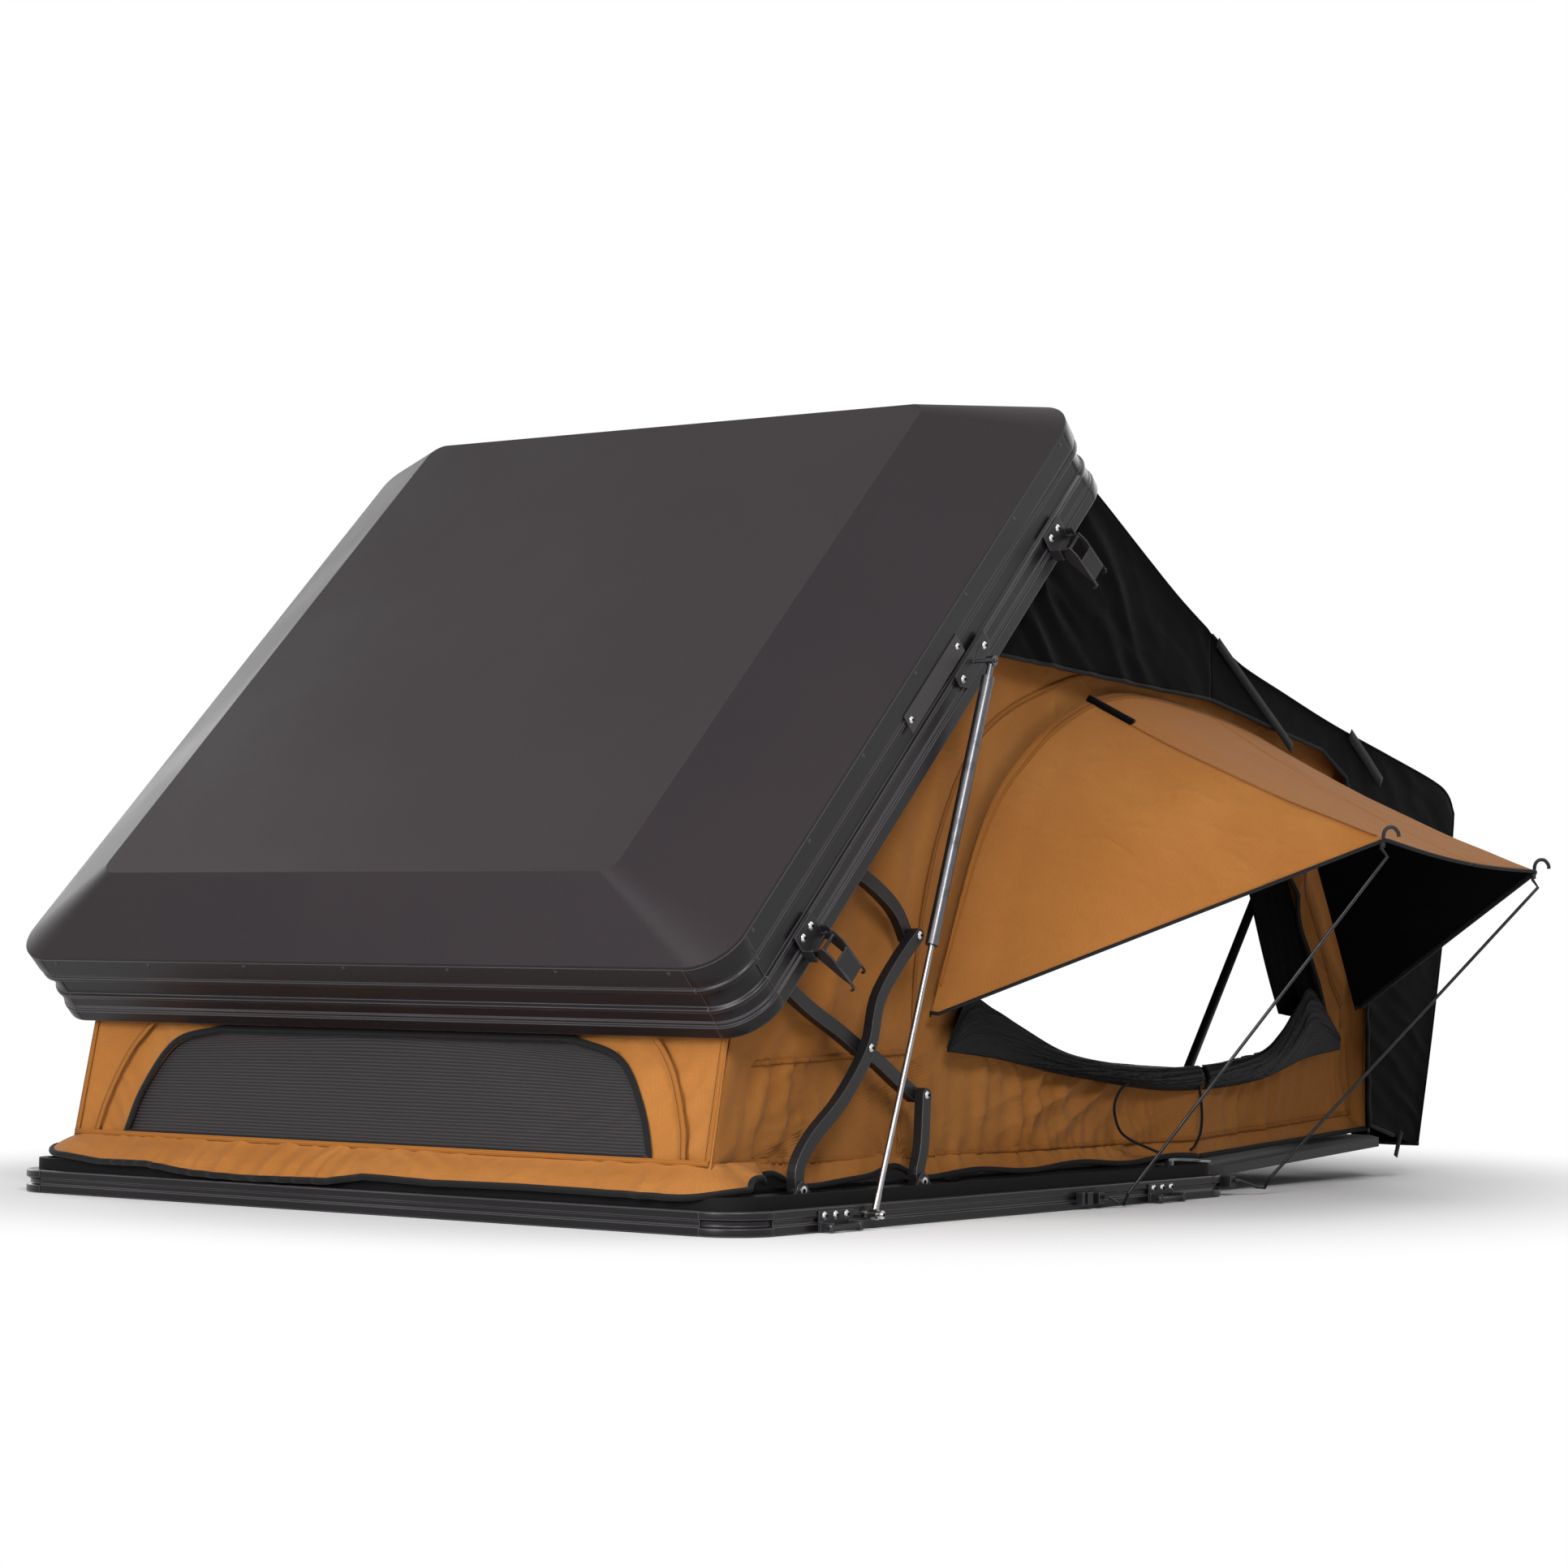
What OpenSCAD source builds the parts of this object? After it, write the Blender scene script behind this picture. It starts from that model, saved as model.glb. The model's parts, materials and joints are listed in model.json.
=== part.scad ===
// Fold-out hard-shell roof tent, opened, all sizes in mm.
// X across the width, +Y from the low front edge of the lid to the fold-out rear, +Z up.
// Z = 0 is the underside of the base, X = 0 the plane of symmetry, Y = 0 the middle of the base.

/* [Base] */
// Width of the base frame over the side rails
base_w = 1650; // [1620:5:1680]
// Length of the base frame over the end rails
base_d = 1520; // [1500:5:1560]
// Height of the base rails
rail_h = 40; // [38:1:44]
// Radius of the base frame's corners
base_r = 84; // [70:1:95]
// Thickness of the floor board inside the base
floor_t = 16; // [12:1:18]
// Height of the rubber seal on the base rails
seal_h = 20; // [14:1:21]

/* [Lid] */
// How far the lid stands in from the base on each side
lid_inset = 25; // [20:1:35]
// Length of the lid along its slope
lid_l = 1427; // [1400:1:1440]
// Depth of the lid's rails
lid_wall = 160; // [150:1:164]
// Rise of the pressed lid panel
lid_rise = 110; // [80:1:130]
// Side inset of the lid's flat top
lid_in_x = 222; // [180:1:260]
// End inset of the lid's flat top
lid_in_y = 108; // [90:1:140]
// Radius of the lid's corners
lid_r = 80; // [60:1:90]
// Thickness of the pressed lid panel
skin_t = 4; // [3:0.5:6]
// Slope of the open lid in degrees
lid_tilt = 44.29; // [42:0.01:46]

/* [Lift linkage] */
// Width of the lift arms
arm_w = 24; // [20:1:26]
// Thickness of each lift arm
arm_t = 18; // [14:1:18]
// Radius of the pivot pins
pin_r = 5; // [4:0.5:6]
// Running clearance of a pin in its bore
pin_clear = 0.05; // [0.03:0.01:0.08]
// Radius of a gas strut's tube
tube_r = 11; // [9:0.5:12]
// Radius of a gas strut's rod
rod_r = 5; // [4:0.5:6]

/* [Fold-out] */
// Length of the fold-out floor board
fold_l = 705; // [640:5:740]
// Upward slope of the fold-out floor in degrees
fold_tilt = 3; // [1:0.5:4]
// Thickness of the fold-out floor board
fold_t = 18; // [14:1:20]
// Diameter of the hoop tubes
bow_d = 18; // [14:1:18]
// Thickness of the mattress
pad_t = 38; // [30:1:40]

/* [Cloth and rods] */
// Thickness of the canvas
cloth_t = 4; // [3:0.5:5]
// Diameter of the steel awning rods
wire_d = 6; // [5:0.5:8]
// Reach of the awnings beyond the wall
awning_out = 530; // [450:5:560]

/* [Latches] */
// Half width of a latch lever
latch_hw = 22; // [18:1:24]
// Radius of a striker bar
bar_r = 5; // [4:0.5:6]

/* [Hidden] */
$fn = 32;
hw = base_w / 2;
hd = base_d / 2;
lid_w = base_w - 2 * lid_inset;
lw = lid_w / 2;
floor_z = 20;
lip_y = -hd - 26.6;
lip_z = 417.5;
rail_t = 25;
web_t = 13;
arm_out = lw - rail_t - 9;
arm_mid = arm_out - arm_t - 4;
wall_x = lw - rail_t - 9 - 18 - 4 - 18 - 6;
foot_a = [-hd + 234, 62];
foot_d = [-hd + 576, 62];
cross_p = [-hd + 428, 287];
elbow_p = [-hd + 565, 473];
knee_p = [-hd + 591, 206];
lid_b = [127.1, -77.8];
lid_c = [367.9, -56.4];
strut_x = hw + 15;
strut_lo = [-hd + 334, 23];
lid_s = [855.7, -109];
hinge_y = hd - 25;
hinge_z = 85;
hinge_r = 6;
fold_y0 = hd + 5;
fold_y1 = fold_y0 + fold_l;
fold_z = 28;
cut_y = hd + 40;
fly_x = wall_x + 25;
latch_v = [199, lid_l - 223.5];
latch_pin = [12, -140];
closed_y = -hd + 46.5;
closed_z = 222;
striker_z = 8;
striker_x = hw + 20;
bow_x = wall_x - 51;
bow_len = 992;
bow_ang = 52.3;
rod_y = closed_y + latch_v[1] - 227;
rod_eye = [[hw + 20, rod_y, 20], [hw + 8, hd - 20, 28]];
rod_bend = [[hw + 25, rod_y + 48, 6], [hw + 25, hd + 50, 14]];
hook_p = [[wall_x + awning_out, hd - 227, 650], [wall_x + awning_out, hd + 372, 607]];

// Shared helpers
module both() {
  children();
  mirror([1, 0, 0]) children();
}
module yz(x, t) {
  translate([x, 0, 0]) rotate([90, 0, 90]) linear_extrude(t) children();
}
module xcyl(x, p, r, l) {
  translate([x, p[0], p[1]]) rotate([0, 90, 0]) cylinder(r = r, h = l);
}
module on_lid() {
  translate([0, lip_y, lip_z]) rotate([lid_tilt, 0, 0]) children();
}
module on_fold() {
  translate([0, hinge_y, hinge_z]) rotate([fold_tilt, 0, 0]) translate([0, -hinge_y, -hinge_z]) children();
}
module button(r = 7, h = 3.5) {
  intersection() {
    translate([0, 0, -h]) cylinder(r = r, h = 3 * h);
    translate([0, 0, h - (r * r + h * h) / (2 * h)]) sphere(r = (r * r + h * h) / (2 * h), $fn = 40);
    cylinder(r = r, h = h);
  }
}
module head_x(x, p) {
  translate([x, p[0], p[1]]) rotate([0, 90, 0]) button();
}
module rrect(w, d, r) {
  union() {
    square([w - 2 * r, d], center = true);
    square([w, d - 2 * r], center = true);
    for (sx = [-1, 1], sy = [-1, 1]) translate([sx * (w / 2 - r), sy * (d / 2 - r)])
      circle(r, $fn = 64);
  }
}
function lid_pt(q) = [lip_y + q[0] * cos(lid_tilt) - q[1] * sin(lid_tilt),
  lip_z + q[0] * sin(lid_tilt) + q[1] * cos(lid_tilt)];
function unit(v) = v / norm(v);
function mixp(a, b, t) = a + (b - a) * t;

// A smooth line through the points p, s steps to a stretch
function knot(p, i) = p[max(0, min(len(p) - 1, i))];
function spline_at(a, b, c, d, t) = 0.5 * ((2 * b) + (c - a) * t + (2 * a - 5 * b + 4 * c - d) * t * t
  + (3 * b - a - 3 * c + d) * t * t * t);
function spline(p, s) = concat([for (i = [0 : len(p) - 2], k = [0 : s - 1])
  spline_at(knot(p, i - 1), p[i], p[i + 1], knot(p, i + 2), k / s)], [p[len(p) - 1]]);
function side2(p, i) = let (d = unit(knot(p, i + 1) - knot(p, i - 1))) [-d[1], d[0]];
function band(p, w) = concat([for (i = [0 : len(p) - 1]) p[i] + side2(p, i) * w / 2],
  [for (i = [len(p) - 1 : -1 : 0]) p[i] - side2(p, i) * w / 2]);

// A closed sheet over a grid of points, with thickness along the vector t
module sheet(g, t) {
  m = len(g);
  n = len(g[0]);
  top = [for (r = g, q = r) q + t];
  low = [for (r = g, q = r) q];
  k = m * n;
  quads = [for (i = [0 : m - 2], j = [0 : n - 2])
    [i * n + j, i * n + j + 1, (i + 1) * n + j + 1, (i + 1) * n + j]];
  up = [for (q = quads, f = [[q[0], q[1], q[2]], [q[0], q[2], q[3]]]) f];
  down = [for (q = quads, f = [[q[2], q[1], q[0]], [q[3], q[2], q[0]]]) [f[0] + k, f[1] + k, f[2] + k]];
  rim = concat([for (j = [0 : n - 1]) j], [for (i = [1 : m - 1]) i * n + n - 1],
    [for (j = [n - 2 : -1 : 0]) (m - 1) * n + j], [for (i = [m - 2 : -1 : 1]) i * n]);
  e = len(rim);
  wall = [for (i = [0 : e - 1], f = [[rim[(i + 1) % e], rim[i], rim[i] + k],
    [rim[(i + 1) % e], rim[i] + k, rim[(i + 1) % e] + k]]) f];
  polyhedron(concat(low, top), concat(up, down, wall), convexity = 8);
}

// A round wire along a line of points, n sides
function tan3(p, i) = unit(knot(p, i + 1) - knot(p, i - 1));
function ring3(p, i, r, n, up) = let (d = tan3(p, i), a = unit(cross(d, up)), b = cross(d, a))
  [for (j = [0 : n - 1]) p[i] + r * (cos(360 * j / n) * a + sin(360 * j / n) * b)];
module wire(p, r, n = 12, up = [0.31, -0.62, 0.72]) {
  m = len(p);
  pts = [for (i = [0 : m - 1], q = ring3(p, i, r, n, up)) q];
  side = [for (i = [0 : m - 2], j = [0 : n - 1], f = [
    [i * n + j, i * n + (j + 1) % n, (i + 1) * n + (j + 1) % n],
    [i * n + j, (i + 1) * n + (j + 1) % n, (i + 1) * n + j]]) f];
  caps = [[for (j = [n - 1 : -1 : 0]) j], [for (j = [0 : n - 1]) (m - 1) * n + j]];
  polyhedron(pts, concat(side, caps), convexity = 10);
}

// A pad with a crown, drawn-in sides and a stitched channel across the middle
function pad_h(a, b, c) = c * (1 - pow(abs(a), 6)) * (1 - pow(abs(b), 6)) - 0.35 * c * exp(-pow(b / 0.07, 2));
module pad(x, y0, y1, z0, h, n = 14) {
  g = [for (i = [0 : n]) let (b = -1 + 2 * i / n) [for (j = [0 : n]) let (a = -1 + 2 * j / n)
    [x * a * (1 - 0.012 * pow(b, 2)), (y0 + y1) / 2 + (y1 - y0) / 2 * b * (1 - 0.01 * pow(a, 2)),
    z0 + 0.62 * h + pad_h(a, b, 0.38 * h)]]];
  k = len(g[0]);
  low = [for (r = g, q = r) [q[0] * 0.992, q[1], z0]];
  top = [for (r = g, q = r) q];
  c = len(top);
  quads = [for (i = [0 : n - 1], j = [0 : n - 1])
    [i * k + j, i * k + j + 1, (i + 1) * k + j + 1, (i + 1) * k + j]];
  up = [for (q = quads, f = [[q[2], q[1], q[0]], [q[3], q[2], q[0]]]) f];
  down = [for (q = quads, f = [[q[0], q[1], q[2]], [q[0], q[2], q[3]]]) [f[0] + c, f[1] + c, f[2] + c]];
  rim = concat([for (j = [0 : k - 1]) j], [for (i = [1 : n]) i * k + k - 1],
    [for (j = [k - 2 : -1 : 0]) n * k + j], [for (i = [n - 1 : -1 : 1]) i * k]);
  e = len(rim);
  wall = [for (i = [0 : e - 1], f = [[rim[i], rim[(i + 1) % e], rim[i] + c],
    [rim[(i + 1) % e], rim[(i + 1) % e] + c, rim[i] + c]]) f];
  polyhedron(concat(top, low), concat(up, down, wall), convexity = 6);
}

// Base frame
rail_p = [[1, 0], [0, 1], [0, 14], [3, 16], [3, rail_h - 16], [0, rail_h - 14], [0, rail_h - 2], [2, rail_h],
  [44, rail_h], [44, rail_h - 3], [7, rail_h - 3], [7, floor_z], [60, floor_z], [60, floor_z - 4],
  [7, floor_z - 4], [7, 3], [44, 3], [44, 0]];
corner_p = [[1, 0], [-1.5, 1], [-1.5, 13], [6, 16], [6, rail_h - 17], [-1.5, rail_h - 13], [-1.5, rail_h - 2],
  [1, rail_h], [44, rail_h], [44, rail_h - 3], [10, rail_h - 3], [10, floor_z], [50, floor_z],
  [50, floor_z - 4], [10, floor_z - 4], [10, 3], [44, 3], [44, 0]];
module rail_run(l, half) {
  translate([-l / 2, 0, 0]) rotate([90, 0, 90]) linear_extrude(l) translate([-half, 0]) polygon(rail_p);
}
module base_front_rail() color([0.10, 0.10, 0.11]) rail_run(base_w - 2 * base_r, hd);
module base_rear_rail() color([0.10, 0.10, 0.11]) rotate([0, 0, 180]) rail_run(base_w - 2 * base_r, hd);
module base_side_rails() color([0.10, 0.10, 0.11]) both() rotate([0, 0, 90])
  rail_run(base_d - 2 * base_r, hw);
module base_corners() color([0.13, 0.13, 0.14])
  for (sx = [0, 1], sy = [0, 1]) mirror([sx, 0, 0]) mirror([0, sy, 0])
    translate([hw - base_r, hd - base_r, 0]) rotate_extrude(angle = 90, $fn = 96)
      translate([base_r, 0]) mirror([1, 0]) polygon(corner_p);
module base_floor() color([0.45, 0.45, 0.46]) translate([0, 0, floor_z]) linear_extrude(floor_t)
  difference() {
    rrect(base_w - 92, base_d - 92, 40);
    for (s = [-1, 1], y = [foot_a[0], foot_d[0]]) translate([s * (hw - 30), y])
      square([70, 110], center = true);
  }
module mount_channels() color([0.55, 0.55, 0.57]) both() difference() {
  translate([375, -hd + 62, 0]) cube([50, base_d - 124, floor_z]);
  translate([379, -hd + 50, 4]) cube([42, base_d - 100, floor_z - 8]);
  for (y = [-450, 450]) translate([400, y, -1]) cylinder(r = 4.5, h = 6);
}
module base_seal() color([0.05, 0.05, 0.05]) difference() {
  translate([0, 0, rail_h]) linear_extrude(seal_h) difference() {
    rrect(base_w - 40, base_d - 40, base_r - 20);
    rrect(base_w - 70, base_d - 70, base_r - 35);
  }
  translate([0, hd, rail_h]) cube([base_w - 2 * base_r - 60, 240, 4 * seal_h], center = true);
}
module foot_shape(p) difference() {
  union() {
    translate(p) circle(15);
    polygon([[p[0] - 38, 24], [p[0] + 42, 24], [p[0] + 42, 38], [p[0] + 14, p[1] + 4], [p[0] - 14, p[1] + 4],
      [p[0] - 38, 40]]);
  }
  translate(p) circle(pin_r);
}
module arm_feet() color([0.06, 0.06, 0.06]) both() for (p = [foot_a, foot_d]) {
  yz(arm_out + 0.5, 4) foot_shape(p);
  translate([arm_out + 4.5, p[0] - 38, 24]) cube([hw - 44 - arm_out - 4.5, 80, rail_h - 27.5]);
}
module foot_pins() color([0.75, 0.75, 0.76]) both() for (p = [foot_a, foot_d]) {
  xcyl(arm_out - arm_t - 2, p, pin_r, arm_t + 6.5);
  xcyl(arm_out + 4.5, p, 8, 2.5);
}
module strikers() color([0.12, 0.12, 0.13]) both() for (v = latch_v) translate([0, closed_y + v, 0]) {
  difference() {
    union() {
      translate([hw, -46, 1]) cube([3, 92, 33]);
      for (s = [-42, 36]) translate([hw + 3, s, 1]) cube([24, 6, 15]);
    }
    translate([striker_x, -60, striker_z]) rotate([-90, 0, 0]) cylinder(r = bar_r, h = 120);
  }
  translate([striker_x, -44, striker_z]) rotate([-90, 0, 0]) cylinder(r = bar_r, h = 88);
}
module base_bolts() color([0.78, 0.78, 0.79]) both() {
  for (v = latch_v, s = [-30, 0, 30]) head_x(hw + 3, [closed_y + v + s, 26]);
  for (p = [foot_a, foot_d], s = [-26, 26]) translate([arm_out + 4.5, p[0] + s, 44.5])
    rotate([0, 90, 0]) button(5, 2);
  xcyl(hw, strut_lo, 3.5, 34);
  xcyl(hw, strut_lo, 8, 5);
  xcyl(hw + 25.5, strut_lo, 7, 6);
}
module rod_sockets() color([0.08, 0.08, 0.09]) both() {
  for (p = rod_eye) difference() {
    translate([hw - 40, p[1] - 9, p[2] - 12]) cube([p[0] - hw + 39.9 - wire_d / 2, 18, 20]);
    translate([hw - base_r, hd - base_r, -1]) cylinder(r = base_r + 1.7, h = 60, $fn = 96);
    translate([hw - 100, -hd, -1]) cube([100, base_d - base_r, 60]);
  }
  translate([hw, rod_y - 58, 8]) cube([14, 8, 22]);
  translate([hw, rod_y - 43, 8]) cube([16, 16, 22]);
}
module cheek(x) yz(x, 8) difference() {
  union() {
    translate([hinge_y, hinge_z]) circle(13);
    polygon([[hinge_y - 18, rail_h], [hinge_y + 22, rail_h], [hinge_y + 13, hinge_z],
      [hinge_y - 13, hinge_z]]);
  }
  translate([hinge_y, hinge_z]) circle(hinge_r);
}
module hinge_brackets() color([0.5, 0.5, 0.52]) both() {
  cheek(wall_x - 24);
  cheek(wall_x - 98);
  xcyl(wall_x - 98, [hinge_y, hinge_z], hinge_r, 82);
  xcyl(wall_x - 16, [hinge_y, hinge_z], 10, 3);
}
module mattress_front() color([0.42, 0.42, 0.43])
  pad(wall_x - 18, -hd + 72, hd - 62, floor_z + floor_t + 0.3, pad_t - 0.3);

// Front half of the tent
front_lean = 12.4;
module on_front() translate([0, -hd + 55, 62]) rotate([-front_lean, 0, 0]) rotate([90, 0, 0]) children();
front_win = [[135 - wall_x, 52], [wall_x - 128, 52], [wall_x - 160, 130], [wall_x - 220, 205],
  [wall_x - 320, 236], [320 - wall_x, 236], [220 - wall_x, 210], [160 - wall_x, 130]];
module front_wall() color([0.66, 0.43, 0.21]) on_front() linear_extrude(cloth_t) difference() {
  polygon([[-wall_x, 0], [wall_x, 0], [wall_x - 4, 279], [-wall_x + 4, 279]]);
  polygon(front_win);
}
module front_mesh() color([0.03, 0.03, 0.03]) on_front() translate([0, 0, -2.5]) linear_extrude(2)
  scale([1.012, 1.03]) polygon(front_win);
function hem(x) = 9 * sin(x * 0.62) + 6 * sin(x * 1.37 + 40);
skirt_y = -hd + 55 + 46 * tan(front_lean) - cloth_t / cos(front_lean) - 2.6;
function skirt_at(x, t, f) = [x * (1 + 0.075 * f), skirt_y - 57 * f - 5 * sin(x * 0.62) * t,
  110 - 34 * t - 20 * pow(t, 6) + (hem(x) - 2) * t * t * 0.6];
skirt_rows = [for (i = [0 : 6]) let (t = i / 6) [for (j = [0 : 60])
  skirt_at(-wall_x - 20 + j * (wall_x + 20) / 30, t, pow(t, 1.4))]];
module front_skirt() color([0.60, 0.38, 0.18]) sheet(skirt_rows, [0, 2.2, -2.6]);
win_f = [[hd - 720, 285], [hd - 650, 560], [hd - 560, 720], [hd - 400, 812], [hd - 200, 850],
  [cut_y + 1, 840], [cut_y + 1, 285]];
win_r = [[cut_y - 1, 285], [cut_y - 1, 840], [hd + 320, 760], [hd + 450, 610], [hd + 606, 300]];
lid_edge = [lid_pt([60, -125]), lid_pt([lid_l - 27, -125])];
module side_front() yz(wall_x - cloth_t, cloth_t) difference() {
  polygon([[-hd + 62, 64], [-hd + 112, 300], lid_edge[0] + [8, 0], lid_edge[1], [cut_y, 1025], [cut_y, 64]]);
  polygon(win_f);
}
module side_wall_right() color([0.64, 0.41, 0.20]) side_front();
module side_wall_left() color([0.64, 0.41, 0.20]) mirror([1, 0, 0]) side_front();
roll_yz = [[hd - 740, 292], [hd - 580, 276], [hd - 360, 250], [hd - 160, 246], [cut_y - 8, 262]];
roll_p = [for (q = roll_yz) [wall_x + 13.4, q[0], q[1]]];
module roll_right() wire(spline(roll_p, 4), 13, 10);
module window_mesh_right() color([0.03, 0.03, 0.03]) roll_right();
module window_mesh_left() color([0.03, 0.03, 0.03]) mirror([1, 0, 0]) roll_right();
fly_0 = lid_pt([lid_l, 0]) + [65.13, -87.96];
fly_cut = [cut_y, 1053];
fly_top = [fly_0, mixp(fly_0, fly_cut, 0.52) - [0, 6], fly_cut, [hd + 140, 1004], [hd + 513, 906],
  [hd + 740, 857], [hd + 942, 812], [hd + 1038, 747]];
fly_end = [[hd + 1038, 747], [hd + 1005, 560], [hd + 945, 300], [hd + 880, 60]];
fly_turn = mixp(fly_top[0], fly_top[1], 0.215);
function under(p) = [for (i = [len(p) - 1 : -1 : 0]) p[i] + [0, -cloth_t]];
module fly_strip(p, x = fly_x) yz(-x, 2 * x) polygon(concat(p, under(p)));
module fly_front() color([0.06, 0.06, 0.065]) {
  fly_strip([fly_top[0], fly_turn + [1, -0.57]], lw - lid_r - 2);
  fly_strip([fly_turn, fly_top[1], fly_top[2] + [-0.15, 0]]);
  both() yz(fly_x - cloth_t - 1, cloth_t) polygon([fly_0 - [255, 364], fly_0 - [255, 326], fly_0 - [0, 64],
    fly_turn - [0, 2], fly_top[1] - [0, 2], fly_top[2] - [0.15, 2], [cut_y - 0.15, 924],
    fly_0 + [100, -382]]);
}

// Fold-out rear half
module fold_floor() color([0.12, 0.12, 0.13]) on_fold() translate([0, 0, fold_z]) linear_extrude(fold_t)
  polygon([[8 - wall_x, fold_y0], [wall_x - 8, fold_y0], [wall_x - 4, fold_y0 + 25],
    [wall_x + 45, fold_y0 + 50],
    [wall_x + 45, fold_y1 - 40], [wall_x + 5, fold_y1], [-wall_x - 5, fold_y1], [-wall_x - 45, fold_y1 - 40],
    [-wall_x - 45, fold_y0 + 50], [4 - wall_x, fold_y0 + 25]]);
module fold_arms() color([0.5, 0.5, 0.52]) on_fold() both() {
  yz(wall_x - 36, 8) difference() {
    union() {
      translate([hinge_y, hinge_z]) circle(14);
      polygon([[hinge_y - 4, hinge_z + 13], [hinge_y + 6, hinge_z - 13], [fold_y0 + 8, fold_z + fold_t],
        [fold_y0 + 90, fold_z + fold_t], [fold_y0 + 90, fold_z + fold_t + 8]]);
    }
    translate([hinge_y, hinge_z]) circle(hinge_r + pin_clear);
  }
  translate([wall_x - 28, fold_y0 + 8, fold_z + fold_t]) cube([22, 82, 4]);
}
module mattress_rear() color([0.42, 0.42, 0.43]) on_fold()
  pad(wall_x - 105, fold_y0 + 15, fold_y1 - 16, fold_z + fold_t + 0.3, pad_t - 0.3);
module rear_side() yz(wall_x - cloth_t, cloth_t) difference() {
  polygon([[cut_y + 0.5, 62], [cut_y + 0.5, 1023], [hd + 140, 972], [hd + 513, 878], [hd + 630, 838],
    [fold_y1 - 5.3, 770], [fold_y1 - 5.3, 94]]);
  polygon(win_r);
}
module rear_side_right() color([0.64, 0.41, 0.20]) rear_side();
module rear_side_left() color([0.64, 0.41, 0.20]) mirror([1, 0, 0]) rear_side();
door_half = [[wall_x - 170, 150], [wall_x - 160, 380], [wall_x - 215, 580], [wall_x - 330, 685]];
door_p = concat(door_half, [[0, 722]], [for (i = [3 : -1 : 0]) [-door_half[i][0], door_half[i][1]]]);
module rear_wall() color([0.64, 0.41, 0.20]) translate([0, fold_y1 - 1, 0]) rotate([90, 0, 0])
  linear_extrude(cloth_t) difference() {
    polygon([[-wall_x + 4, 96], [wall_x - 4, 96], [wall_x - 4, 768], [-wall_x + 4, 768]]);
    polygon(door_p);
  }
fly_rows = [for (i = [0 : 2 : 12]) spline(fly_end, 4)[i]];
function fold_wave(x) = 11 * sin(x * 0.85 + 30) + 7 * sin(x * 1.9);
function end_at(q, x, t) = [x, q[0] + 1.4 + fold_wave(x) * t * (1 - pow(abs(x) / fly_x, 8)), q[1] - 1];
end_rows = [for (i = [0 : 6]) [for (j = [0 : 12])
  end_at(fly_rows[i], wall_x - 135 + (fly_x - wall_x + 134.5) * j / 12, i / 6)]];
module fly_rear() color([0.06, 0.06, 0.065]) {
  fly_strip([for (i = [2 : 7]) fly_top[i] + [0.15, 0]]);
  both() sheet(end_rows, [0, cloth_t, 0]);
  translate([20 - fly_x, hd + 962, 764]) rotate([0, 90, 0]) cylinder(r = 28, h = 2 * fly_x - 40);
  both() yz(fly_x - cloth_t - 1, cloth_t) polygon(concat([[cut_y + 0.15, 1050], fly_top[3] - [0, 2],
    fly_top[4] - [0, 2], fly_top[5] - [0, 2], fly_top[6] - [0, 2]], [for (q = fly_rows) q - [1.5, 2]],
    [[hd + 680, 104], [hd + 664, 400], [hd + 648, 600], [hd + 575, 800], [hd + 475, 850],
      [cut_y + 0.15, 924]]));
}
bow_r = 110;
module on_bow() translate([0, hinge_y, hinge_z]) rotate([bow_ang, 0, 0]) children();
module bow_main() color([0.62, 0.62, 0.64]) on_bow() difference() {
  union() {
    both() {
      translate([bow_x, 8, 0]) rotate([-90, 0, 0]) cylinder(r = bow_d / 2, h = bow_len - bow_r - 8);
      translate([bow_x - bow_r, bow_len - bow_r, 0]) rotate_extrude(angle = 90, $fn = 96)
        translate([bow_r, 0]) circle(bow_d / 2);
      translate([bow_x - bow_d / 2 - 1, 0, 0]) rotate([0, 90, 0]) cylinder(r = bow_d / 2 + 3, h = bow_d + 2);
    }
    translate([bow_r - bow_x, bow_len, 0]) rotate([0, 90, 0])
      cylinder(r = bow_d / 2, h = 2 * (bow_x - bow_r));
  }
  both() translate([bow_x - 30, 0, 0]) rotate([0, 90, 0]) cylinder(r = hinge_r + pin_clear, h = 60);
}
fly_foot_z = hinge_z + (fold_y1 - 24 - hinge_y) * sin(fold_tilt)
  + (fold_z + fold_t - hinge_z) * cos(fold_tilt) + 1.6;
fly_rod_p = [[wall_x + 12, fold_y1 - 24, fly_foot_z], [wall_x + 12, fold_y1 - 4, fly_foot_z + 60],
  [wall_x + 12, fold_y1 + 35, 250], [wall_x + 11, hd + 845, 480],
  [wall_x + 10, hd + 910, 640], [wall_x + 10, hd + 916, 740]];
module fly_rods() color([0.25, 0.25, 0.26]) both() wire(spline(fly_rod_p, 6), wire_d / 2, 10);

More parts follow.
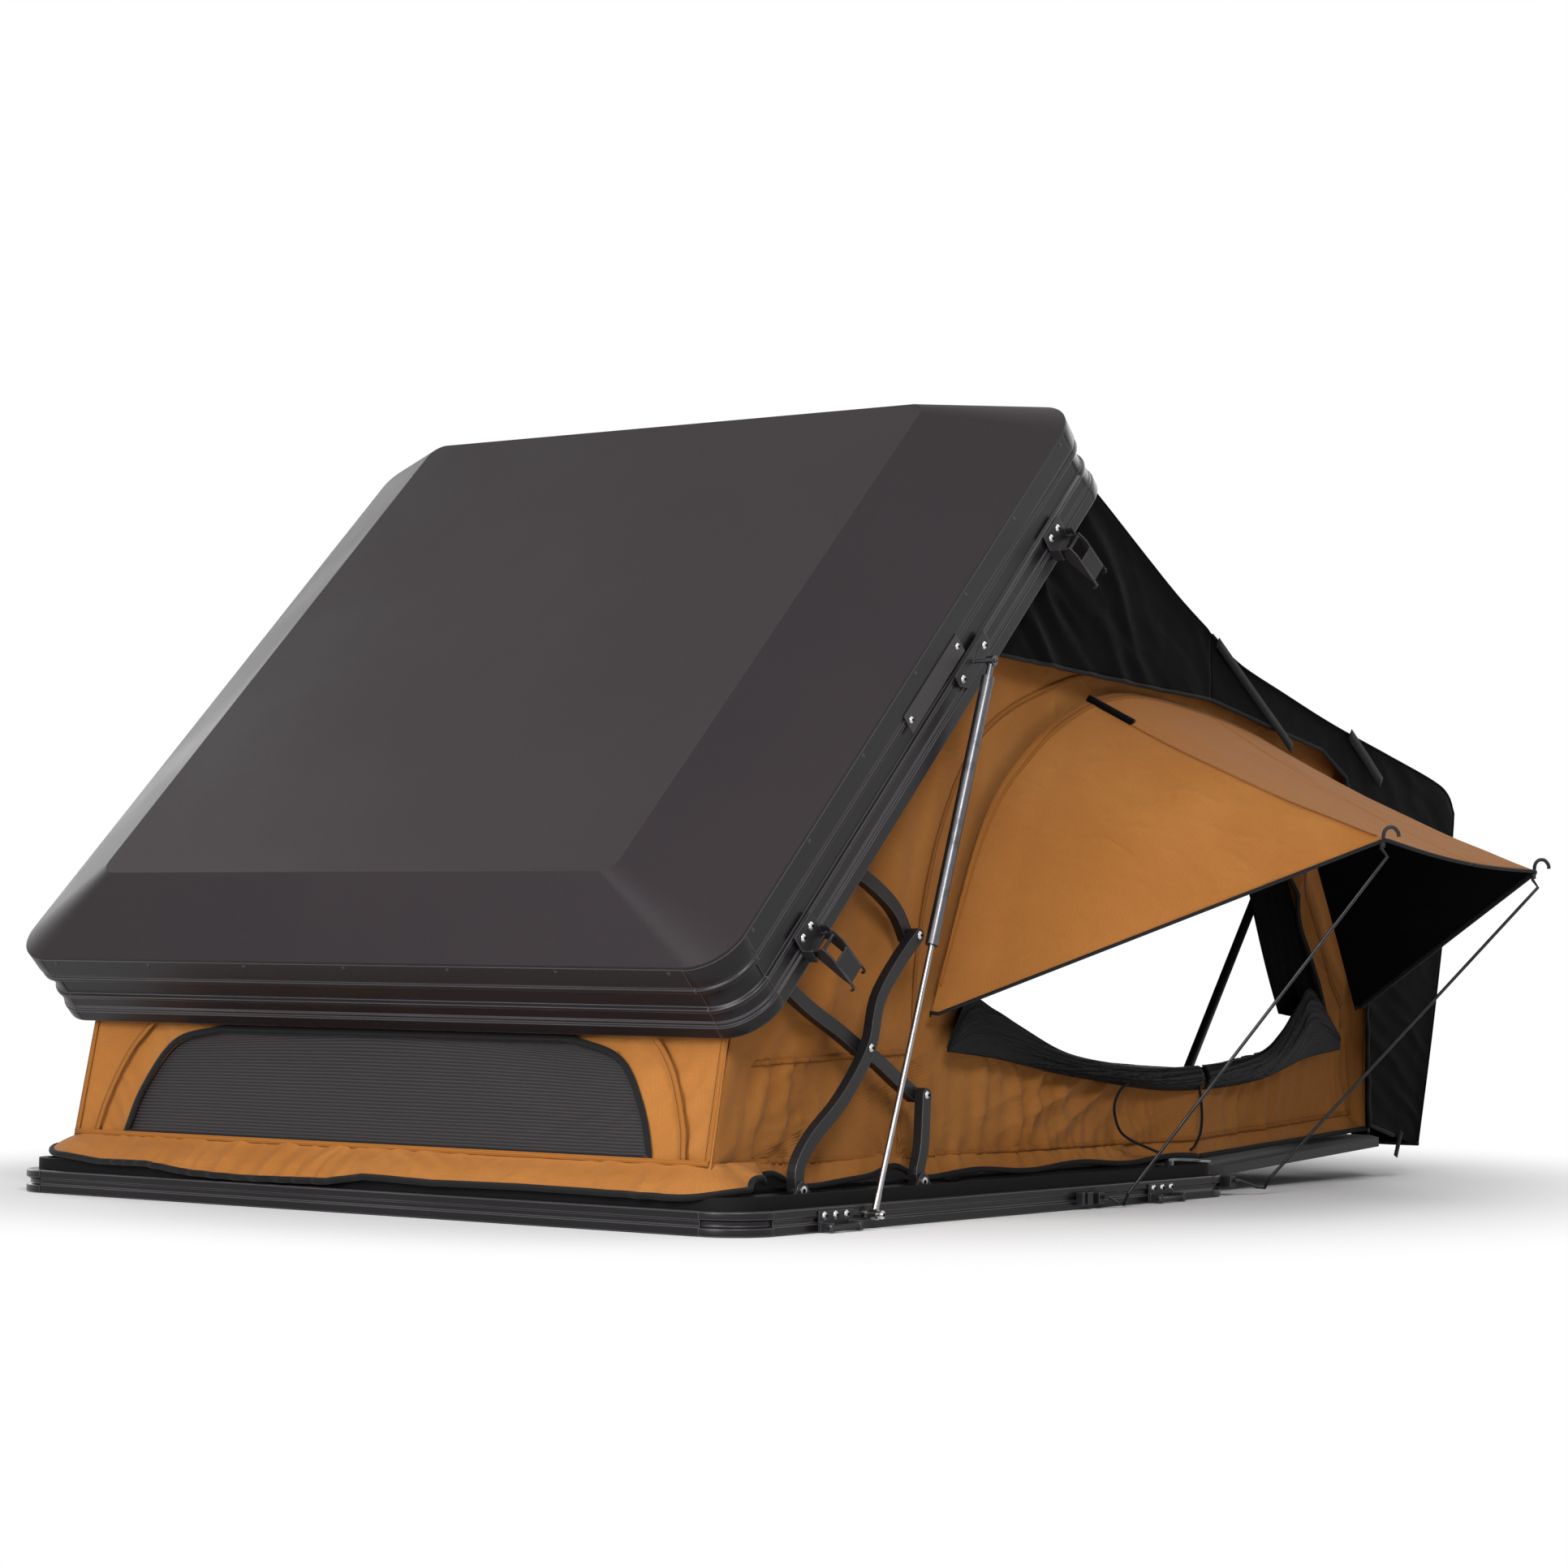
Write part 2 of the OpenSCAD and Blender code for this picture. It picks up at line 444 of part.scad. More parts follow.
// Lift linkage
path_a = [foot_a, foot_a + [0, 37], foot_a + [38, 82], foot_a + [121, 143], cross_p, cross_p + [26, 78],
  cross_p + [81, 139], elbow_p];
path_b = [lid_pt(lid_b), cross_p + [-202, 101], cross_p + [-133, 63], cross_p + [-60, 30], cross_p,
  cross_p + [46, -18], cross_p + [107, -52], knee_p];
path_d = [knee_p, foot_d + [13, 113], foot_d + [9, 59], foot_d + [-3, 17], foot_d];
path_c = [elbow_p, elbow_p + [-30.9, 40.1], elbow_p + [-79.1, 72.7], elbow_p + [-153, 106.9], lid_pt(lid_c)];
module arm(path, x, bores, fixed = []) both() difference() {
  yz(x, arm_t) union() {
    polygon(band(spline(path, 5), arm_w));
    for (p = [path[0], path[len(path) - 1]]) translate(p) circle(arm_w / 2);
    for (p = bores) translate(p) circle(arm_w / 2 + 1);
  }
  yz(x - 1, arm_t - 3) difference() {
    polygon(band(spline(path, 5), arm_w - 7));
    for (p = bores) translate(p) circle(arm_w / 2 - 1);
    for (p = fixed) translate(p) circle(arm_w / 2 - 1);
  }
  yz(x - 1, arm_t + 2) {
    for (p = bores) translate(p) circle(pin_r + pin_clear);
    for (p = fixed) translate(p) circle(pin_r);
  }
}
module arms_a() color([0.07, 0.07, 0.075]) arm(path_a, arm_out - arm_t, [foot_a], [cross_p, elbow_p]);
module arms_b() color([0.07, 0.07, 0.075]) arm(path_b, arm_mid - arm_t, [lid_pt(lid_b), cross_p, knee_p]);
module lower_links() color([0.07, 0.07, 0.075]) arm(path_d, arm_out - arm_t, [foot_d], [knee_p]);
module upper_links() color([0.07, 0.07, 0.075]) arm(path_c, arm_mid - arm_t, [elbow_p, lid_pt(lid_c)]);
module arm_pins() color([0.78, 0.78, 0.79]) both() for (p = [cross_p, elbow_p]) {
  xcyl(arm_mid - arm_t - 1, p, pin_r, arm_out - arm_mid + arm_t + 1);
  head_x(arm_out, p);
}
module knee_pins() color([0.78, 0.78, 0.79]) both() {
  xcyl(arm_mid + 1, knee_p, pin_r, arm_out - arm_mid - 1);
  head_x(arm_out, knee_p);
}

// Lid
lid_p = [[2, -skin_t], [0, -skin_t - 2], [0, -44], [4, -46], [4, -50], [1, -52], [1, -60], [9, -63],
  [9, -95], [3, -98], [3, -103], [5, -105], [5, -124], [3, -126], [3, -131], [0, -134], [0, 4 - lid_wall],
  [4, -lid_wall], [rail_t - 3, -lid_wall], [rail_t, 3 - lid_wall], [rail_t, 5 - lid_wall],
  [web_t, 5 - lid_wall], [web_t, -skin_t - 4], [rail_t, -skin_t - 4], [rail_t, -skin_t]];
lid_rear_p = [[2, -skin_t], [0, -skin_t - 2], [0, -44], [4, -46], [4, -50], [1, -52], [1, -60], [4, -72],
  [web_t, -72], [web_t, -skin_t - 4], [rail_t, -skin_t - 4], [rail_t, -skin_t]];
module lid_run(l, half, p) translate([-l / 2, 0, 0]) rotate([90, 0, 90]) linear_extrude(l)
  translate([-half, 0]) polygon(p);
module lid_mid() on_lid() translate([0, lid_l / 2, 0]) children();
module lid_front_rail() color([0.11, 0.11, 0.12]) lid_mid() lid_run(lid_w - 2 * lid_r, lid_l / 2, lid_p);
module lid_rear_rail() color([0.11, 0.11, 0.12]) lid_mid() rotate([0, 0, 180])
  lid_run(lid_w - 2 * lid_r, lid_l / 2, lid_rear_p);
module lid_side_rails() color([0.11, 0.11, 0.12]) lid_mid() both() rotate([0, 0, 90])
  lid_run(lid_l - 2 * lid_r, lw, lid_p);
module lid_corners() color([0.13, 0.13, 0.14]) lid_mid()
  for (sx = [0, 1], sy = [0, 1]) mirror([sx, 0, 0]) mirror([0, sy, 0])
    translate([lw - lid_r, lid_l / 2 - lid_r, 0]) rotate_extrude(angle = 90, $fn = 96)
      translate([lid_r, 0]) mirror([1, 0]) polygon(lid_p);
module lid_form(g, d) hull() {
  translate([0, 0, -d]) linear_extrude(skin_t) rrect(lid_w - 2 * g, lid_l - 2 * g, lid_r - g);
  translate([0, 0, lid_rise - skin_t - d]) linear_extrude(skin_t)
    rrect(lid_w - 2 * lid_in_x - g, lid_l - 2 * lid_in_y - g, 30);
}
module lid_skin() color([0.10, 0.10, 0.11]) lid_mid() difference() {
  intersection() {
    lid_form(0, skin_t);
    translate([0, 0, 490 - skin_t]) cube([2 * lid_w, 2 * lid_l, 980], center = true);
  }
  lid_form(30, 2 * skin_t);
}
module lid_plates() color([0.45, 0.45, 0.46]) on_lid() both() translate([lw, 638, -80]) cube([2, 212, 38]);
module lid_pin(q, x) xcyl(x, lid_pt(q), pin_r, arm_mid + 4.5 - x);
module lid_ear(q) on_lid() difference() {
  union() {
    translate([arm_mid + 0.5, q[0] - 16, q[1] - 16]) cube([4, 32, 32]);
    translate([arm_mid + 4.5, q[0] - 16, q[1] - 2]) cube([lw - web_t - arm_mid - 4.5, 32, 18]);
  }
  translate([arm_mid - 5, q[0], q[1]]) rotate([0, 90, 0]) cylinder(r = pin_r, h = 9.5);
}
module lid_arm_brackets() color([0.10, 0.10, 0.11]) both() {
  lid_ear(lid_b);
  lid_ear(lid_c);
  lid_pin(lid_b, arm_mid - arm_t - 1);
  lid_pin(lid_c, arm_mid + 0.5);
}
module strut_brackets() color([0.10, 0.10, 0.11]) both() {
  on_lid() difference() {
    translate([lw, lid_s[0] - 60, lid_s[1] - 22]) cube([4, 120, 40]);
    for (s = [-60, 60]) translate([lw - 1, lid_s[0] + s, lid_s[1] - 22]) rotate([45, 0, 0])
      cube([12, 24, 24], center = true);
  }
  xcyl(lw + 4, lid_pt(lid_s), 3.5, strut_x - lw + 6);
}
module latch_brackets() color([0.10, 0.10, 0.11]) on_lid() both() for (v = latch_v) translate([0, v, 0])
  union() {
    translate([lw, -latch_hw - 9, -146]) cube([3, 2 * latch_hw + 18, 50]);
    for (s = [-latch_hw - 9, latch_hw + 6]) translate([lw + 3, s, -150]) cube([18, 3, 24]);
    translate([lw + latch_pin[0], -latch_hw - 9, latch_pin[1]]) rotate([-90, 0, 0])
      cylinder(r = 3, h = 2 * latch_hw + 18);
  }
module lid_bolts() color([0.80, 0.80, 0.81]) on_lid() {
  both() for (v = latch_v, s = [-14, 14]) translate([lw + 3, v + s, -113]) rotate([0, 90, 0]) button();
  both() for (s = [-44, 44]) translate([lw + 4, lid_s[0] + s, lid_s[1] - 2]) rotate([0, 90, 0]) button();
  both() for (v = [651, 838]) translate([lw + 2, v, -61]) rotate([0, 90, 0]) button(6, 3);
  both() for (i = [0 : 6]) translate([lw, 100 + i * (lid_l - 200) / 6, -14]) rotate([0, 90, 0])
    button(4, 1.8);
  for (i = [0 : 6], v = [0, 1]) translate([-lw + 110 + i * (lid_w - 220) / 6, v * lid_l, -14])
    rotate([90 - 180 * v, 0, 0]) button(4, 1.8);
}

// Gas struts
strut_hi = lid_pt(lid_s);
strut_l = norm(strut_hi - strut_lo);
strut_stroke = 395.8;
strut_a = atan2(strut_hi[1] - strut_lo[1], strut_hi[0] - strut_lo[0]);
module on_strut() translate([strut_x, strut_lo[0], strut_lo[1]]) rotate([strut_a - 90, 0, 0]) children();
module strut_eye() difference() {
  rotate([0, 90, 0]) translate([0, 0, -7]) cylinder(r = 9, h = 14);
  rotate([0, 90, 0]) translate([0, 0, -10]) cylinder(r = 3.55, h = 20);
}
module strut_rods() color([0.82, 0.82, 0.83]) both() on_strut() {
  strut_eye();
  translate([0, 0, 5]) cylinder(r = rod_r + 0.7, h = 29);
  translate([0, 0, 33]) cylinder(r = rod_r, h = strut_l - 66 - strut_stroke - 3);
}
module strut_tubes() color([0.45, 0.45, 0.47]) both() on_strut() {
  difference() {
    translate([0, 0, strut_l - 510]) cylinder(r = tube_r, h = 480);
    translate([0, 0, strut_l - 511]) cylinder(r = rod_r + 0.05, h = 478);
  }
  translate([0, 0, strut_l - 31]) cylinder(r = rod_r + 0.7, h = 26);
  translate([0, 0, strut_l]) strut_eye();
}

// Awnings and their rods
arch = [[hd - 860, 335], [hd - 711, 660], [hd - 570, 800], [hd - 425, 880], [hd - 280, 918], [hd - 140, 920],
  [hd + 85, 896], [hd + 260, 862], [hd + 401, 826], [hd + 502, 700], [hd + 585, 500], [hd + 652, 335]];
function arch_at(t) = let (s = spline(arch, 6), k = t * (len(s) - 1), i = min(len(s) - 2, floor(k)))
  mixp(s[i], s[i + 1], k - i);
edge_p = [[wall_x + 0.4, hd - 860, 335], hook_p[0], hook_p[1], [wall_x + 0.4, hd + 652, 335]];
edge_t = [0.314, 0.709];
function edge_at(t) = t < edge_t[0] ? mixp(edge_p[0], edge_p[1], t / edge_t[0])
  : t < edge_t[1] ? mixp(edge_p[1], edge_p[2], (t - edge_t[0]) / (edge_t[1] - edge_t[0]))
  : mixp(edge_p[2], edge_p[3], (t - edge_t[1]) / (1 - edge_t[1]));
function wall_arch(a) = [wall_x + 0.4, a[0], a[1]];
function awning_at(s, t, lift) = mixp(wall_arch(arch_at(t)), edge_at(t), s)
  + [0, 0, -14 * sin(180 * s) * sin(180 * t) + lift];
awning_rows = [for (i = [0 : 8]) [for (j = [0 : 33])
  awning_at(i / 8, 1 - j / 33, j == 0 || j == 33 ? i * 0.9 : 0)]];
module awning() sheet(awning_rows, [0.5, 0, cloth_t]);
module awning_right() color([0.66, 0.43, 0.21]) awning();
module awning_left() color([0.66, 0.43, 0.21]) mirror([1, 0, 0]) awning();
function rod_path(k) = let (e = rod_eye[k], b = rod_bend[k], h = hook_p[k] + [4, 0, -30], d = unit(h - b))
  [e, e + [0, 14, 0], mixp(e, b, 0.75) + [0, 6, -3], b + [1, 10, -2], b + d * 24, mixp(b, h, 0.5),
  h - d * 40, h, h + [-8, -6, 14], h + [-6, -10, 26]];
module rod(k) wire(rod_path(k), wire_d / 2, 12);
module rod_right_front() color([0.55, 0.55, 0.56]) rod(0);
module rod_right_rear() color([0.55, 0.55, 0.56]) rod(1);
module rod_left_front() color([0.55, 0.55, 0.56]) mirror([1, 0, 0]) rod(0);
module rod_left_rear() color([0.55, 0.55, 0.56]) mirror([1, 0, 0]) rod(1);

// Latch levers
hook_c = [striker_x - lw, striker_z - closed_z];
module hook_side(y) translate([0, y + 3, 0]) rotate([90, 0, 0]) linear_extrude(3) difference() {
  union() {
    translate(latch_pin) circle(7);
    polygon([latch_pin + [-6, 4], latch_pin + [24, 10], latch_pin + [32, -8], hook_c + [bar_r + 5.2, -1],
      hook_c + [bar_r + 0.5, -1], hook_c + [bar_r + 0.5, 6], hook_c + [-2, 16], latch_pin + [4, -10]]);
    difference() {
      translate(hook_c) circle(bar_r + 5.5);
      translate(hook_c + [-30, 2]) square([60, 40]);
      translate(hook_c + [-30, -30]) square([29.8, 60]);
    }
  }
  translate(latch_pin) circle(3.05);
  translate(hook_c) circle(bar_r + 1);
}
module lever() {
  hook_side(-latch_hw);
  hook_side(latch_hw - 3);
  translate([0, latch_hw - 3, 0]) rotate([90, 0, 0]) linear_extrude(2 * latch_hw - 6)
    polygon([latch_pin + [29, -24], latch_pin + [32.5, -24], hook_c + [bar_r + 4.5, 8],
      hook_c + [bar_r + 1, 8]]);
  translate([30, -latch_hw + 3, -138]) rotate([-90, 0, 0]) cylinder(r = 3, h = 2 * latch_hw - 6);
}
module latch_at(i) on_lid() translate([lw, latch_v[i], 0]) lever();
module latch_right_front() color([0.09, 0.09, 0.10]) latch_at(0);
module latch_right_rear() color([0.09, 0.09, 0.10]) latch_at(1);
module latch_left_front() color([0.09, 0.09, 0.10]) mirror([1, 0, 0]) latch_at(0);
module latch_left_rear() color([0.09, 0.09, 0.10]) mirror([1, 0, 0]) latch_at(1);

base_front_rail();
base_rear_rail();
base_side_rails();
base_corners();
base_floor();
mount_channels();
base_seal();
arm_feet();
foot_pins();
strikers();
base_bolts();
rod_sockets();
hinge_brackets();
mattress_front();
front_wall();
front_mesh();
front_skirt();
side_wall_right();
side_wall_left();
window_mesh_right();
window_mesh_left();
fly_front();
fold_floor();
fold_arms();
mattress_rear();
rear_side_right();
rear_side_left();
rear_wall();
fly_rear();
bow_main();
fly_rods();
arms_a();
arms_b();
lower_links();
upper_links();
arm_pins();
knee_pins();
lid_skin();
lid_front_rail();
lid_rear_rail();
lid_side_rails();
lid_corners();
lid_plates();
lid_arm_brackets();
strut_brackets();
latch_brackets();
lid_bolts();
strut_rods();
strut_tubes();
awning_right();
awning_left();
rod_right_front();
rod_right_rear();
rod_left_front();
rod_left_rear();
latch_right_front();
latch_right_rear();
latch_left_front();
latch_left_rear();
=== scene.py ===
"""Looks of a fold-out hard-shell roof tent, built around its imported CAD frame.

Lengths are in metres, in the CAD frame: X across the width, +Y from the lid's low front edge
to the fold-out rear, +Z up from the underside of the base.
"""

from __future__ import annotations

import json
import logging
import math
from dataclasses import dataclass
from enum import Enum
from typing import Callable, Iterable, Sequence

import bpy
import numpy as np
from mathutils import Matrix, Vector, noise

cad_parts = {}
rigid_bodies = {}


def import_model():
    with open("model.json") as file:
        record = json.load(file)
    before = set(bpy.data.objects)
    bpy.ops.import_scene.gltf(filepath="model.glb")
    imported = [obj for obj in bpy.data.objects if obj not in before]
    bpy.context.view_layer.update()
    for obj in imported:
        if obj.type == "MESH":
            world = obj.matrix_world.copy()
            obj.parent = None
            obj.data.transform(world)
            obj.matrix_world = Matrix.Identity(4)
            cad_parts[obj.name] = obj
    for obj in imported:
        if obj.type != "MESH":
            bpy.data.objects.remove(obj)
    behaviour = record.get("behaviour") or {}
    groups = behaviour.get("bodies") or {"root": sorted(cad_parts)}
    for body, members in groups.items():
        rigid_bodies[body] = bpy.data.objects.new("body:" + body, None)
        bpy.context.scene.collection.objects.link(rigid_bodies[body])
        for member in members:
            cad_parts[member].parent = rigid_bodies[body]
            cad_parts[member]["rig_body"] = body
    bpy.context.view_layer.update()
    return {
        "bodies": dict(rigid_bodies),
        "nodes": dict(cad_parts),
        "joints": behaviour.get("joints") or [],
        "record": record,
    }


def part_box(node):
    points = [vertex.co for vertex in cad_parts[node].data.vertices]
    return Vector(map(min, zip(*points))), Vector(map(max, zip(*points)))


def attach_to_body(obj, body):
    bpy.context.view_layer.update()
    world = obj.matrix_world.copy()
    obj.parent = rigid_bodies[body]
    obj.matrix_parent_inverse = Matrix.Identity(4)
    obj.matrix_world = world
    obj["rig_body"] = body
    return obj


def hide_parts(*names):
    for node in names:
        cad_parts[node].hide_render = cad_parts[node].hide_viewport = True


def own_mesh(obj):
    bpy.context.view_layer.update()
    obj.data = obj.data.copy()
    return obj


LOG = logging.getLogger("roof_tent")
Colour = tuple[float, float, float]
Point = Sequence[float]
Faces = list[tuple[int, ...]]
TINY = 1e-9


def clamp(value: float) -> float:
    """The value held between 0 and 1."""
    return min(1.0, max(0.0, value))


def linear(hex_code: str) -> Colour:
    """Turns a written colour such as "A0703A" into linear light.

    Args:
        hex_code: six hexadecimal digits, red first.

    Returns:
        Red, green and blue from 0 to 1 in linear light.
    """
    parts = [int(hex_code[i:i + 2], 16) / 255 for i in (0, 2, 4)]
    return tuple(c / 12.92 if c <= 0.04045 else ((c + 0.055) / 1.055) ** 2.4 for c in parts)


class Body(Enum):
    """CAD bodies that carry the soft pieces."""

    BASE = "base"
    FOLD = "fold_out"

    @property
    def part(self) -> str:
        """Which half of the tent it carries, in piece names."""
        return "front" if self is Body.BASE else "rear"


class Side(Enum):
    """The two sides of the tent, with the sign of X."""

    RIGHT = 1
    LEFT = -1

    @property
    def word(self) -> str:
        """The side's name in piece names."""
        return self.name.lower()


class Wire:
    """A shader socket that takes Python's operators."""

    def __init__(self, graph: "Graph", socket: bpy.types.NodeSocket) -> None:
        """Keeps the node tree that owns the socket."""
        self.graph = graph
        self.socket = socket

    def _math(self, operation: str, first: object, second: object = 0.0) -> "Wire":
        """Adds one Math node.

        Args:
            operation: the Math node's operation.
            first: first value or wire.
            second: second value or wire.

        Returns:
            The node's result.
        """
        return self.graph.node("ShaderNodeMath", {"operation": operation}, {0: first, 1: second})

    def __add__(self, other: object) -> "Wire":
        """Sum."""
        return self._math("ADD", self, other)

    __radd__ = __add__

    def __sub__(self, other: object) -> "Wire":
        """Difference."""
        return self._math("SUBTRACT", self, other)

    def __rsub__(self, other: object) -> "Wire":
        """Difference from a number."""
        return self._math("SUBTRACT", other, self)

    def __mul__(self, other: object) -> "Wire":
        """Product."""
        return self._math("MULTIPLY", self, other)

    __rmul__ = __mul__

    def __truediv__(self, other: object) -> "Wire":
        """Quotient."""
        return self._math("DIVIDE", self, other)

    def __pow__(self, other: object) -> "Wire":
        """Power."""
        return self._math("POWER", self, other)

    def wave(self) -> "Wire":
        """Sine of an angle in radians."""
        return self._math("SINE", self)

    def part(self) -> "Wire":
        """The part after the decimal point."""
        return self._math("FRACT", self)

    def size(self) -> "Wire":
        """Absolute value."""
        return self._math("ABSOLUTE", self)

    def below(self, limit: float) -> "Wire":
        """One where the value is less than limit."""
        return self._math("LESS_THAN", self, limit)

    def ease(self, low: float, high: float, start: float = 0.0, end: float = 1.0) -> "Wire":
        """Maps low..high smoothly onto start..end.

        Args:
            low: value that gives start.
            high: value that gives end.
            start: result at low.
            end: result at high.

        Returns:
            The mapped value.
        """
        return self.graph.node(
            "ShaderNodeMapRange", {"interpolation_type": "SMOOTHSTEP"},
            {"Value": self, "From Min": low, "From Max": high, "To Min": start, "To Max": end})


class Graph:
    """A node tree with its output, and the one method that adds to it."""

    def __init__(self, tree: bpy.types.NodeTree, output: str) -> None:
        """Empties the tree and adds an output node of that type.

        Args:
            tree: the node tree.
            output: the output node's type.
        """
        self.tree = tree
        self.tree.nodes.clear()
        self.output = self.tree.nodes.new(output).inputs[0]

    def node(self, kind: str, settings: dict, inputs: dict, output: object = 0) -> Wire:
        """Adds any node.

        Args:
            kind: the node's type.
            settings: attributes to set.
            inputs: socket name or index to a value or a wire.
            output: name or index of the socket returned.

        Returns:
            The chosen output.
        """
        made = self.tree.nodes.new(kind)
        for key, value in settings.items():
            setattr(made, key, value)
        for key, value in inputs.items():
            self.feed(made.inputs[key], value)
        return Wire(self, made.outputs[output])

    def feed(self, socket: bpy.types.NodeSocket, value: object) -> None:
        """Links a wire to a socket, or sets its value.

        Args:
            socket: the input to fill.
            value: a wire, a number, a colour, a written colour or a vector.
        """
        if isinstance(value, str):
            value = linear(value)
        if isinstance(value, Wire):
            self.tree.links.new(value.socket, socket)
        elif isinstance(value, tuple) and len(value) == 3 and socket.type == "RGBA":
            socket.default_value = (*value, 1.0)
        else:
            socket.default_value = value

    def seen(self) -> Wire:
        """One for rays of the camera, of mirror images and through clear things, else none.

        Returns:
            The sum of the three kinds of ray, at most one.
        """
        kinds = ("Camera", "Glossy", "Transmission")
        camera, glossy, through = (self.node("ShaderNodeLightPath", {}, {}, f"Is {kind} Ray") for kind in kinds)
        return (camera + glossy + through).ease(0.0, 1.0)


class Shader(Graph):
    """One material with a Principled surface, and the nodes that feed it."""

    def __init__(self, name: str) -> None:
        """Makes an empty material with its output wired.

        Args:
            name: the material's name.
        """
        self.material = bpy.data.materials.new(name)
        self.material.use_nodes = True
        super().__init__(self.material.node_tree, "ShaderNodeOutputMaterial")
        self.surface = self.tree.nodes.new("ShaderNodeBsdfPrincipled")
        self.feed(self.output, Wire(self, self.surface.outputs[0]))

    def place(self, source: str = "Object") -> Wire:
        """Texture coordinates: "Object" for the frame's own metres, "UV" for cloth."""
        return self.node("ShaderNodeTexCoord", {}, {}, source)

    def axis(self, vector: Wire, letter: str) -> Wire:
        """One component of a vector."""
        return self.node("ShaderNodeSeparateXYZ", {}, {0: vector}, letter)

    def stretch(self, vector: Wire, scale: Point) -> Wire:
        """Scales a vector by three factors."""
        return self.node("ShaderNodeVectorMath", {"operation": "MULTIPLY"}, {0: vector, 1: tuple(scale)})

    def cloud(self, vector: Wire, scale: float | Point, detail: float = 3.0, rough: float = 0.55) -> Wire:
        """Noise from 0 to 1.

        Args:
            vector: where to read it.
            scale: blobs per metre, or three such values to draw it out along the axes.
            detail: number of finer layers.
            rough: strength of the finer layers.

        Returns:
            The noise value.
        """
        if isinstance(scale, tuple):
            vector, scale = self.stretch(vector, scale), 1.0
        return self.node("ShaderNodeTexNoise", {}, {"Vector": vector, "Scale": scale, "Detail": detail,
                                                    "Roughness": rough})

    def tint(self, factor: Wire, first: object, second: object) -> Wire:
        """Mixes two colours.

        Args:
            factor: 0 gives first, 1 gives second.
            first: a colour or a wire.
            second: a colour or a wire.

        Returns:
            The mixed colour.
        """
        return self.node("ShaderNodeMix", {"data_type": "RGBA", "clamp_factor": True},
                         {0: factor, 6: first, 7: second}, 2)

    def relief(self, height: Wire, strength: float, depth: float) -> Wire:
        """Bumps the surface.

        Args:
            height: height from 0 to 1.
            strength: share of the bump that shows.
            depth: real height in metres.

        Returns:
            The bumped normal.
        """
        return self.node("ShaderNodeBump", {}, {"Strength": strength, "Distance": depth, "Height": height})

    def over(self, factor: Wire, cover: Wire) -> None:
        """Mixes another shader over the finished one.

        Args:
            factor: 0 for the finished shader, 1 for the cover.
            cover: the other shader's output.
        """
        under = Wire(self, self.surface.outputs[0])
        self.feed(self.output, self.node("ShaderNodeMixShader", {}, {0: factor, 1: under, 2: cover}))

    def set(self, **sockets: object) -> bpy.types.Material:
        """Fills the surface's sockets, written with _ for a space.

        Args:
            **sockets: socket names and their values or wires.

        Returns:
            The finished material.
        """
        for key, value in sockets.items():
            self.feed(self.surface.inputs[key.replace("_", " ")], value)
        return self.material


@dataclass(frozen=True)
class Coat:
    """Powder coat or paint on metal: fine grain, dust in the broad, rubbed spots."""

    name: str
    colour: str
    rubbed: str
    roughness: float = 0.45
    grain: float = 700.0
    depth: float = 0.00012
    metallic: float = 0.0
    specular: float = 0.5

    def build(self) -> bpy.types.Material:
        """Makes the material.

        Returns:
            The material with its nodes.
        """
        s = Shader(self.name)
        at = s.place()
        broad = s.cloud(at, 2.3, 4.0)
        fine = s.cloud(at, self.grain, 2.0)
        rub = s.cloud(at, 38.0, 6.0, 0.7).ease(0.62, 0.8)
        colour = s.tint(rub * 0.35 + broad.ease(0.35, 0.7) * 0.25 + fine * 0.3, self.colour, self.rubbed)
        rough = broad.ease(0.3, 0.7, self.roughness - 0.05, self.roughness + 0.05) + fine * 0.06 - rub * 0.05
        return s.set(Base_Color=colour, Roughness=rough, Metallic=self.metallic,
                     Specular_IOR_Level=self.specular, Normal=s.relief(fine, 0.5, self.depth))


@dataclass(frozen=True)
class Drawn:
    """Bare drawn, rolled or polished metal with fine lines along one axis."""

    name: str
    colour: str
    stain: str
    roughness: float = 0.28
    lines: Point = (40.0, 40.0, 900.0)
    metallic: float = 1.0
    depth: float = 0.00005

    def build(self) -> bpy.types.Material:
        """Makes the material.

        Returns:
            The material with its nodes.
        """
        s = Shader(self.name)
        at = s.place()
        line = s.cloud(at, self.lines, 3.0)
        blot = s.cloud(at, 30.0, 5.0, 0.65)
        colour = s.tint(blot.ease(0.5, 0.75) * 0.6, self.colour, self.stain)
        rough = line * 0.16 + blot * 0.12 + (self.roughness - 0.12)
        return s.set(Base_Color=colour, Roughness=rough, Metallic=self.metallic,
                     Normal=s.relief(line, 0.4, self.depth))


